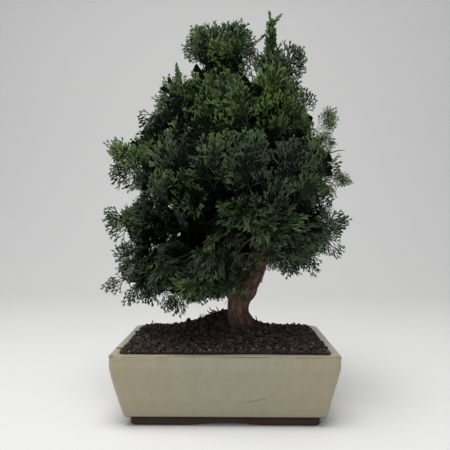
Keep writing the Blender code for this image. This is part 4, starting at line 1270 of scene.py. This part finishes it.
def grow_surface(spaces, sprays, twigs):
    """The outer fans: clusters over the open surface, each a shell of fans that spread from its hub."""
    draw = random.Random(11)
    fans, long_fans = kind_names("fan"), kind_names("long")
    points, ways, owners = open_surface(spaces)
    order = list(range(len(points)))
    draw.shuffle(order)
    seats = thinned(points, order, FAN_SPACING)
    draw.shuffle(order)
    clusters = []
    for head in thinned(points, order, CLUSTER_SPACING):
        clusters.append(plan_cluster(draw, points[head], ways[head]))
        line = bent_line(draw, hub_of(spaces[owners[head]]), clusters[-1].hub, 6, 0.0012)
        if in_crown(line, -0.006).all():
            twigs.append(twig(line, np.linspace(*TWIG_RADII, 6)))
    places = np.array([cluster.place for cluster in clusters])
    for seat in seats:
        point, way, space = points[seat], ways[seat], spaces[owners[seat]]
        if draw.random() < THIN_SHARE * min(1.0, 2.0 * max(near(point, OPEN_PLACES))):
            continue
        cluster = clusters[int(((places - point) ** 2).sum(axis=1).argmin())]
        off = point - cluster.place
        low = float(np.interp(point[2], (0.22, 0.29), (1.0, 0.0)))
        point = point - way * DOME_DROP * min(1.5, float(off @ off) / CLUSTER_REACH ** 2)
        heading = unit(unit(point - cluster.hub) * (0.60 + 0.25 * low) + cluster.axis * (0.50 - 0.20 * low)
                       + jitter(draw, 0.10))
        size = draw.uniform(*FAN_LENGTHS)
        while size > LEAST_FAN and not in_crown((point - heading * size)[None], -0.004)[0]:
            size -= 0.004
        root = point - heading * size
        facing = way * (1.0 - 0.3 * low) + (0.0, 0.0, 0.1 + 0.6 * low) + jitter(draw, 0.22)
        if cluster.flat:
            facing = to_front(draw, 0.25)
        kinds = long_fans if draw.random() < 0.15 + 0.70 * low else fans
        normal = frame_for(heading, facing)
        side = np.cross(normal, heading)
        outline = np.array([heading, heading * 0.82 + side * 0.36, heading * 0.82 - side * 0.36])
        for shrink in (1.0, 0.92, 0.84, 0.76, 0.68):
            probes = root + outline * size * shrink
            if in_crown(probes, 0.0).all() and space.within_walls(probes, -0.020).all():
                break
        else:
            if not in_crown(probes, 0.003).all():
                continue
        # Painted light: fans high on their shell take lighter greens, as the lit tops of the domes, and low
        # ones darker, as painted shade.
        lit_rise = float(off @ cluster.axis)
        tone = cluster.tone + 0.34 * min(1.0, max(-1.0, lit_rise / CLUSTER_REACH)) * (1.0 - 0.4 * low)
        sprays.add(tone_of(draw, point, tone), draw.choice(kinds), root, heading, normal, size * shrink,
                   draw.uniform(0.90, 1.15), draw.uniform(-0.10, 0.25), draw.uniform(0.0, 0.35))


def grow_along_boughs(spaces, sprays):
    """Small sprays that hang from the lowest boughs and hide them."""
    draw = random.Random(13)
    kinds = kind_names("long")

    def hang(root, heading):
        size = draw.uniform(*HUNG_LENGTHS)
        tip = root + heading * size
        if tip[2] > LOWEST_TIP and not in_sky_gap(tip[None])[0]:
            facing = to_front(draw, 0.3, 0.4)
            # Mostly the darker greens, as painted shade under the crown
            tone = draw.choice(("dark", "dark", "deep", "deep", "mid"))
            sprays.add(tone, draw.choice(kinds), root, heading, frame_for(heading, facing), size)

    for space in spaces:
        if space.mass.name not in HUNG_BOUGHS:
            continue
        path = bough_path(space)
        for i in range(HUNG_SPRAYS):
            share = 0.30 + 0.70 * (i + draw.random()) / HUNG_SPRAYS
            at = np.array(path[int(share * (len(path) - 1))])
            root = at + np.array((draw.gauss(0, 0.004), draw.uniform(-0.014, 0.002),
                                  draw.gauss(0.002, 0.005)))
            if root[0] < 0.006:
                hang(root, unit(np.array((-0.55, -0.35, -0.55)) + jitter(draw, 0.45)))
    for x, y, z, radius, count in SHADE_PLACES:
        for _ in range(count):
            root = np.array((x, y, z)) + unit(jitter(draw, 1.0)) * radius * draw.random() ** 0.5
            hang(root, unit(np.array((-0.35, -0.10, -0.15)) + jitter(draw, 0.5)))


def hub_of(space):
    """Where a mass's stem forks into its twigs."""
    mass = space.mass
    stem = np.array(TRUNK[-1][:3] if mass.leaves is None else bough_path(space)[-1])
    return stem + (space.middle - stem) * 0.45


def grow_leaders(spaces, sprays, twigs):
    """Fans that reach the crown's furthest tips, flat face to the front."""
    draw = random.Random(14)
    kinds = kind_names("fan")
    named = {space.mass.name: space for space in spaces}
    tips = [(space.mass.name, tip, 0.038, 2) for space in spaces for tip in space.mass.leaders]
    for name, tip, length, copies in (*tips, *TIPS):
        hub = hub_of(named[name])
        tip = np.array(tip)
        way = unit(unit(tip - named[name].middle) + (0.0, 0.0, 0.7 * (name == "top_left")))
        root = tip - way * length
        for i in range(copies):
            heading = unit(way + jitter(draw, 0.22) * (1.0, 1.6, 1.0) * min(i, 1))
            facing = to_front(draw, 0.22)
            start = root + np.array((0.0, (0.0, 0.012, -0.010)[i % 3], 0.0))
            sprays.add(tone_of(draw, tip, 0.42), draw.choice(kinds), start,
                       heading, frame_for(heading, facing), length * (1.0 - 0.10 * i), 0.9, 0.05, 0.1)
        twigs.append(twig(bent_line(draw, hub, root, 6, 0.0010), np.linspace(*TWIG_RADII, 6)))


def place_single_sprays(sprays):
    """The sprays of the table, each copy turned a little from the one before."""
    draw = random.Random(15)
    for kind, colour, root, tip, copies in SINGLE_SPRAYS:
        kinds = kind_names(kind)
        reach = np.array(tip) - root
        length = float(np.linalg.norm(reach))
        for i in range(copies):
            heading = unit(unit(reach) + jitter(draw, 0.06) * min(i, 1))
            facing = to_front(draw, 0.3, 0.2) + (0.9 * (i % 2), 0.0, 0.0)
            sprays.add(colour, draw.choice(kinds), np.array(root) + jitter(draw, 0.0012) * min(i, 1), heading,
                       frame_for(heading, facing), length * (1.0 - 0.08 * i), 0.8, 0.0, 0.1)


def grow_inside(spaces, sprays, twigs):
    """Coarser sprays behind the outer ones, made near-black as painted shade, and bare twigs among them."""
    draw = random.Random(12)
    kinds, fillers = kind_names("coarse"), kind_names("filler")
    points, ways, owners = open_surface(spaces)
    order = list(range(len(points)))
    for depth, spacing in INNER_LAYERS:
        draw.shuffle(order)
        for seat in thinned(points, order, spacing):
            space = spaces[owners[seat]]
            way = ways[seat]
            point = points[seat] - way * depth
            heading = unit(unit(np.cross(way, jitter(draw, 1.0))) + way * 0.3 + (0, 0, 0.3))
            facing = way + jitter(draw, 0.3)
            size = INNER_LENGTH * draw.uniform(0.85, 1.15)
            root = point - heading * size * 0.5
            loose = max(near(point, OPEN_PLACES)) > 0.05
            if not loose and in_crown(np.array([root, point, root + heading * size]), -0.012).all():
                sprays.add("deep", draw.choice(kinds), root, heading, frame_for(heading, facing), size, 1.0,
                           0.1, 0.2)
    steps = [np.arange(low, high, FILLER_SPACING) for low, high in FILLER_LIMITS]
    for place in np.stack(np.meshgrid(*steps), axis=-1).reshape(-1, 3):
        place = place + jitter(draw, 0.004)
        angle = draw.choice((0.0, math.pi / 2)) + draw.gauss(0, 0.35)
        facing = np.array((math.cos(angle), math.sin(angle), draw.gauss(0, 0.3)))
        heading = unit(np.cross(facing, jitter(draw, 1.0)))
        ends = place + heading * np.array(((-0.02,), (0.0,), (0.02,)))
        if in_crown(ends, -0.015).all() and max(near(place, OPEN_PLACES)) < 0.4:
            sprays.add("deep", draw.choice(fillers), ends[0], heading, frame_for(heading, facing),
                       FILLER_LENGTH, 1.1, 0.0, 0.2)
    for space in spaces:
        hub = hub_of(space)
        for _ in range(4):
            end = space.middle + unit(jitter(draw, 1.0)) * space.reach * draw.uniform(0.4, 0.7)
            if space.inside(end[None], -0.004)[0]:
                twigs.append(twig(bent_line(draw, hub, end, 7, 0.0024), np.linspace(0.0013, 0.0004, 7)))


def make_foliage(spaces):
    """Grows the fans and twigs, and joins them into pieces that stand for the masses."""
    templates = {}
    for kind, (_, seed, *shape) in FAN_KINDS.items():
        for i, name in enumerate(kind_names(kind)):
            templates[name] = fan_template(seed + i, *shape)
    sprays, inner, twigs = Sprays(templates), Sprays(templates), []
    grow_surface(spaces, sprays, twigs)
    grow_leaders(spaces, sprays, twigs)
    place_single_sprays(sprays)
    grow_along_boughs(spaces, sprays)
    grow_inside(spaces, inner, twigs)
    names = [mass.name for mass in MASSES]
    finishes = {}
    for colour, (_, base, tip) in GREENS_WITH_PAINTED_LIGHT.items():
        finishes[colour, False] = leaf_finish(f"frond_{colour}", base)
        finishes[colour, True] = leaf_finish(f"tip_{colour}", tip)
    sprays.make(finishes, names)
    shapes = [shape for group in inner.found.values() for shape in group]
    # Near-black painted shade for all the inner sprays and fillers
    dark = plain_finish("inner_green", INNER_SHADE_GREEN, 0.9, Specular_IOR_Level=0.02)
    joined("inner_sprays", shapes, dark, names)
    joined("twigs", twigs, plain_finish("twig_brown", TWIG_BROWN, 0.8), names)


def grain_shapes(draw, seats, sizes, flatness, raised):
    """Crumbs: rough little solids seated on the soil, as arrays."""
    work = bmesh.new()
    bmesh.ops.create_icosphere(work, subdivisions=1, radius=0.5)
    work.verts.index_update()
    ball = np.array([v.co for v in work.verts])
    triangles = np.array([[v.index for v in face.verts] for face in work.faces])
    work.free()
    shapes = []
    for seat in seats:
        size = draw.uniform(*sizes)
        stretch = np.array((draw.uniform(0.7, 1.3), draw.uniform(0.6, 1.1), draw.uniform(*flatness)))
        rough = 1 + np.array([draw.uniform(-0.22, 0.22) for _ in range(len(ball))])
        turn = np.array(Matrix.Rotation(draw.uniform(0, math.tau), 3, Vector(
            (draw.gauss(0, 1), draw.gauss(0, 1), draw.gauss(0, 1) + 0.01)).normalized()))
        points = (ball * rough[:, None] * stretch * size) @ turn.T
        shapes.append((points + seat + np.array((0, 0, size * raised)), triangles))
    return shapes


def soil_height(x, y):
    """The surface of the soil: level near the rim, heaped behind the trunk and in a collar round it."""
    inward = max(0.0, min(1.0, min(SOIL_HALF[0] - abs(x), SOIL_HALF[1] - abs(y)) / 0.03))
    left, right, deep = HEAP_REACH
    wide = left if x < HEAP_MIDDLE[0] else right
    heap = HEAP_RISE * math.exp(-((x - HEAP_MIDDLE[0]) / wide) ** 2 - ((y - HEAP_MIDDLE[1]) / deep) ** 2)
    past = max(0.0, from_trunk(x, y) - COLLAR_START)
    collar = COLLAR_RISE * math.exp(-(past / COLLAR_REACH) ** 1.5)
    lumps = (noise.noise(Vector((x * 55, y * 55, 2.0))) * 0.0016
             + noise.noise(Vector((x * 170, y * 170, 5.0))) * 0.0008)
    rise = max(heap, collar) + 0.25 * min(heap, collar)
    edge = SOIL_EDGE + EDGE_RISE * math.sin(inward * math.pi / 2)
    return edge + (rise + lumps) * min(1.0, inward * 1.6 + 0.15)


def from_trunk(x, y):
    """The distance from the trunk's middle at the ground."""
    return math.hypot(x - TRUNK[0][0], y - TRUNK[0][1])


def make_soil():
    """The heap with its lumps, and loose crumbs, chips, grit and sticks over it."""
    half_x, half_y = SOIL_HALF[0] - SOIL_GAP, SOIL_HALF[1] - SOIL_GAP
    work = bmesh.new()
    bmesh.ops.create_grid(work, x_segments=SOIL_CELLS[0], y_segments=SOIL_CELLS[1], size=1.0)
    bmesh.ops.scale(work, vec=(half_x, half_y, 1.0), verts=work.verts)
    for vert in work.verts:
        vert.co.z = soil_height(vert.co.x, vert.co.y)
    edges, verts = drawn_out(work, [edge for edge in work.edges if edge.is_boundary])
    for vert in verts:
        vert.co.z = POT_HEIGHT - SIDE_DEPTH
        vert.co.x *= SIDE_SHARES[0]
        vert.co.y *= SIDE_SHARES[1]
    for face in work.faces:
        face.smooth = True
    bmesh.ops.contextual_create(work, geom=edges)
    crumbly = crumb_finish("soil_dark", *SOIL_COLOURS, 260.0, depth=0.0012)
    in_place("soil_heap", work, crumbly, ["soil"])
    draw = random.Random(7)

    def anywhere():
        return draw.uniform(-half_x, half_x), draw.uniform(-half_y, half_y)

    def along_front():
        return draw.uniform(-half_x, half_x), -half_y + abs(draw.gauss(0, 0.012))

    def round_trunk():
        turn, off = draw.uniform(0, math.tau), draw.uniform(*NEAR_TRUNK)
        return TRUNK[0][0] + math.cos(turn) * off, TRUNK[0][1] + math.sin(turn) * off

    def at_rim():
        return draw.uniform(-half_x, half_x), -half_y + 0.0012

    places = {"anywhere": anywhere, "front": along_front, "trunk": round_trunk, "rim": at_rim}

    def seats(count, where):
        """Places on the soil, clear of the pot's wall and of the trunk."""
        found = []
        while len(found) < count:
            x, y = places[where]()
            off_wall = min(half_x - abs(x), half_y - abs(y))
            if off_wall > WALL_CLEARANCE and from_trunk(x, y) > TRUNK_CLEARANCE:
                found.append(np.array((x, y, soil_height(x, y))))
        return found

    for name, count, where, sizes, flatness, raised, dark, light in CRUMBS:
        shapes = grain_shapes(draw, seats(count, where), sizes, flatness, raised)
        if name == "crumbs_black":
            round_sizes = (ROUND_CRUMB_SIZE, ROUND_CRUMB_SIZE)
            shapes += grain_shapes(draw, [np.array(ROUND_CRUMB)], round_sizes, (1.0, 1.0), 0.0)
        joined(name, shapes, crumb_finish(name, dark, light, 320.0, 0.72))
    bits = []
    for seat in seats(TWIG_BITS, "anywhere"):
        length = draw.uniform(*BIT_LENGTHS)
        way = unit(np.array((draw.gauss(0, 1), draw.gauss(0, 1), abs(draw.gauss(0, 0.25)))))
        line = bent_line(draw, seat + (0, 0, 0.0012), seat + way * length + (0, 0, 0.0020), 4, 0.0006)
        bits.append(twig(line, np.linspace(0.0009, 0.0005, 4)))
    for foot, end in LOOSE_STICKS:
        line = bent_line(draw, np.array(foot), np.array(end), 5, 0.0007)
        bits.append(twig(line, np.linspace(0.0011, 0.0006, 5)))
    joined("soil_twig_bits", bits, crumb_finish("dry_twig", *DRY_WOOD, 400.0))


def make_stage():
    """A pale sweep: the floor turning up into the wall behind."""
    work = bmesh.new()
    bmesh.ops.create_grid(work, x_segments=1, y_segments=1, size=0.5)
    bmesh.ops.scale(work, vec=(*PAPER_SIZE, 1.0), verts=work.verts)
    bmesh.ops.translate(work, vec=(0, PAPER_MIDDLE, 0), verts=work.verts)
    edge = max(work.edges, key=lambda e: sum(v.co.y for v in e.verts))
    bend = (0, PAPER_MIDDLE + PAPER_SIZE[1] / 2, SWEEP_RADIUS)
    bmesh.ops.spin(work, geom=[edge, *edge.verts], cent=bend, axis=(1, 0, 0), dvec=(0, 0, 0),
                   angle=math.radians(90), steps=SWEEP_STEPS, use_merge=False)
    edge = max(work.edges, key=lambda e: sum(v.co.z for v in e.verts))
    verts = drawn_out(work, [edge])[1]
    bmesh.ops.translate(work, vec=(0, 0, WALL_HEIGHT), verts=verts)
    for face in work.faces:
        face.smooth = True
    mesh = bpy.data.meshes.new("studio_floor")
    work.to_mesh(mesh)
    work.free()
    floor = linked("studio_floor", mesh)
    mesh.materials.append(plain_finish("pale_paper", PAPER, 0.9))


def area_light(name, place, aim, size, power, colour):
    """A soft lamp at a place, facing a point."""
    lamp = bpy.data.lights.new(name, "AREA")
    lamp.shape = "RECTANGLE"
    lamp.size, lamp.size_y = size
    lamp.energy = power
    lamp.color = colour
    made = linked(name, lamp)
    made.location = place
    made.rotation_euler = (Vector(aim) - Vector(place)).to_track_quat("-Z", "Y").to_euler()


def make_light():
    """Two soft lamps, and a pale room all round."""
    for lamp in LAMPS:
        area_light(*lamp)
    world = bpy.data.worlds.new("studio")
    bpy.context.scene.world = world
    world.use_nodes = True
    nodes = world.node_tree.nodes
    backing = nodes.get("Background") or nodes.new("ShaderNodeBackground")
    output = nodes.get("World Output") or nodes.new("ShaderNodeOutputWorld")
    world.node_tree.links.new(backing.outputs[0], output.inputs[0])
    backing.inputs["Color"].default_value = ROOM_LIGHT
    backing.inputs["Strength"].default_value = ROOM_STRENGTH


def make_camera():
    """The photograph's view: a level camera a touch off the pot's own axis."""
    lens = bpy.data.cameras.new("camera")
    lens.sensor_width = 36.0
    lens.lens = 36.0 * FOCAL_PIXELS / FRAME_PIXELS
    lens.clip_start = 0.01
    made = linked("camera", lens)
    made.location = CAMERA_PLACE + POT_MIDDLE
    half = FRAME_PIXELS / 2
    aside, above = half - VANISHING_POINT[0], VANISHING_POINT[1] - half
    aim = Vector((aside / FOCAL_PIXELS, 1.0, above / FOCAL_PIXELS))
    made.rotation_euler = aim.to_track_quat("-Z", "Y").to_euler()
    bpy.context.scene.camera = made


def main():
    """The photograph's view, the stage and the light, then the plant in its pot."""
    bpy.context.scene.view_settings.view_transform = "Standard"
    make_camera()
    make_stage()
    make_light()
    make_pot(glaze_finish())
    make_soil()
    spaces = [Space(mass) for mass in MASSES]
    make_wood(spaces, bark_finish("old_bark", *OLD_BARK), bark_finish("young_bark", *YOUNG_BARK))
    make_foliage(spaces)


main()
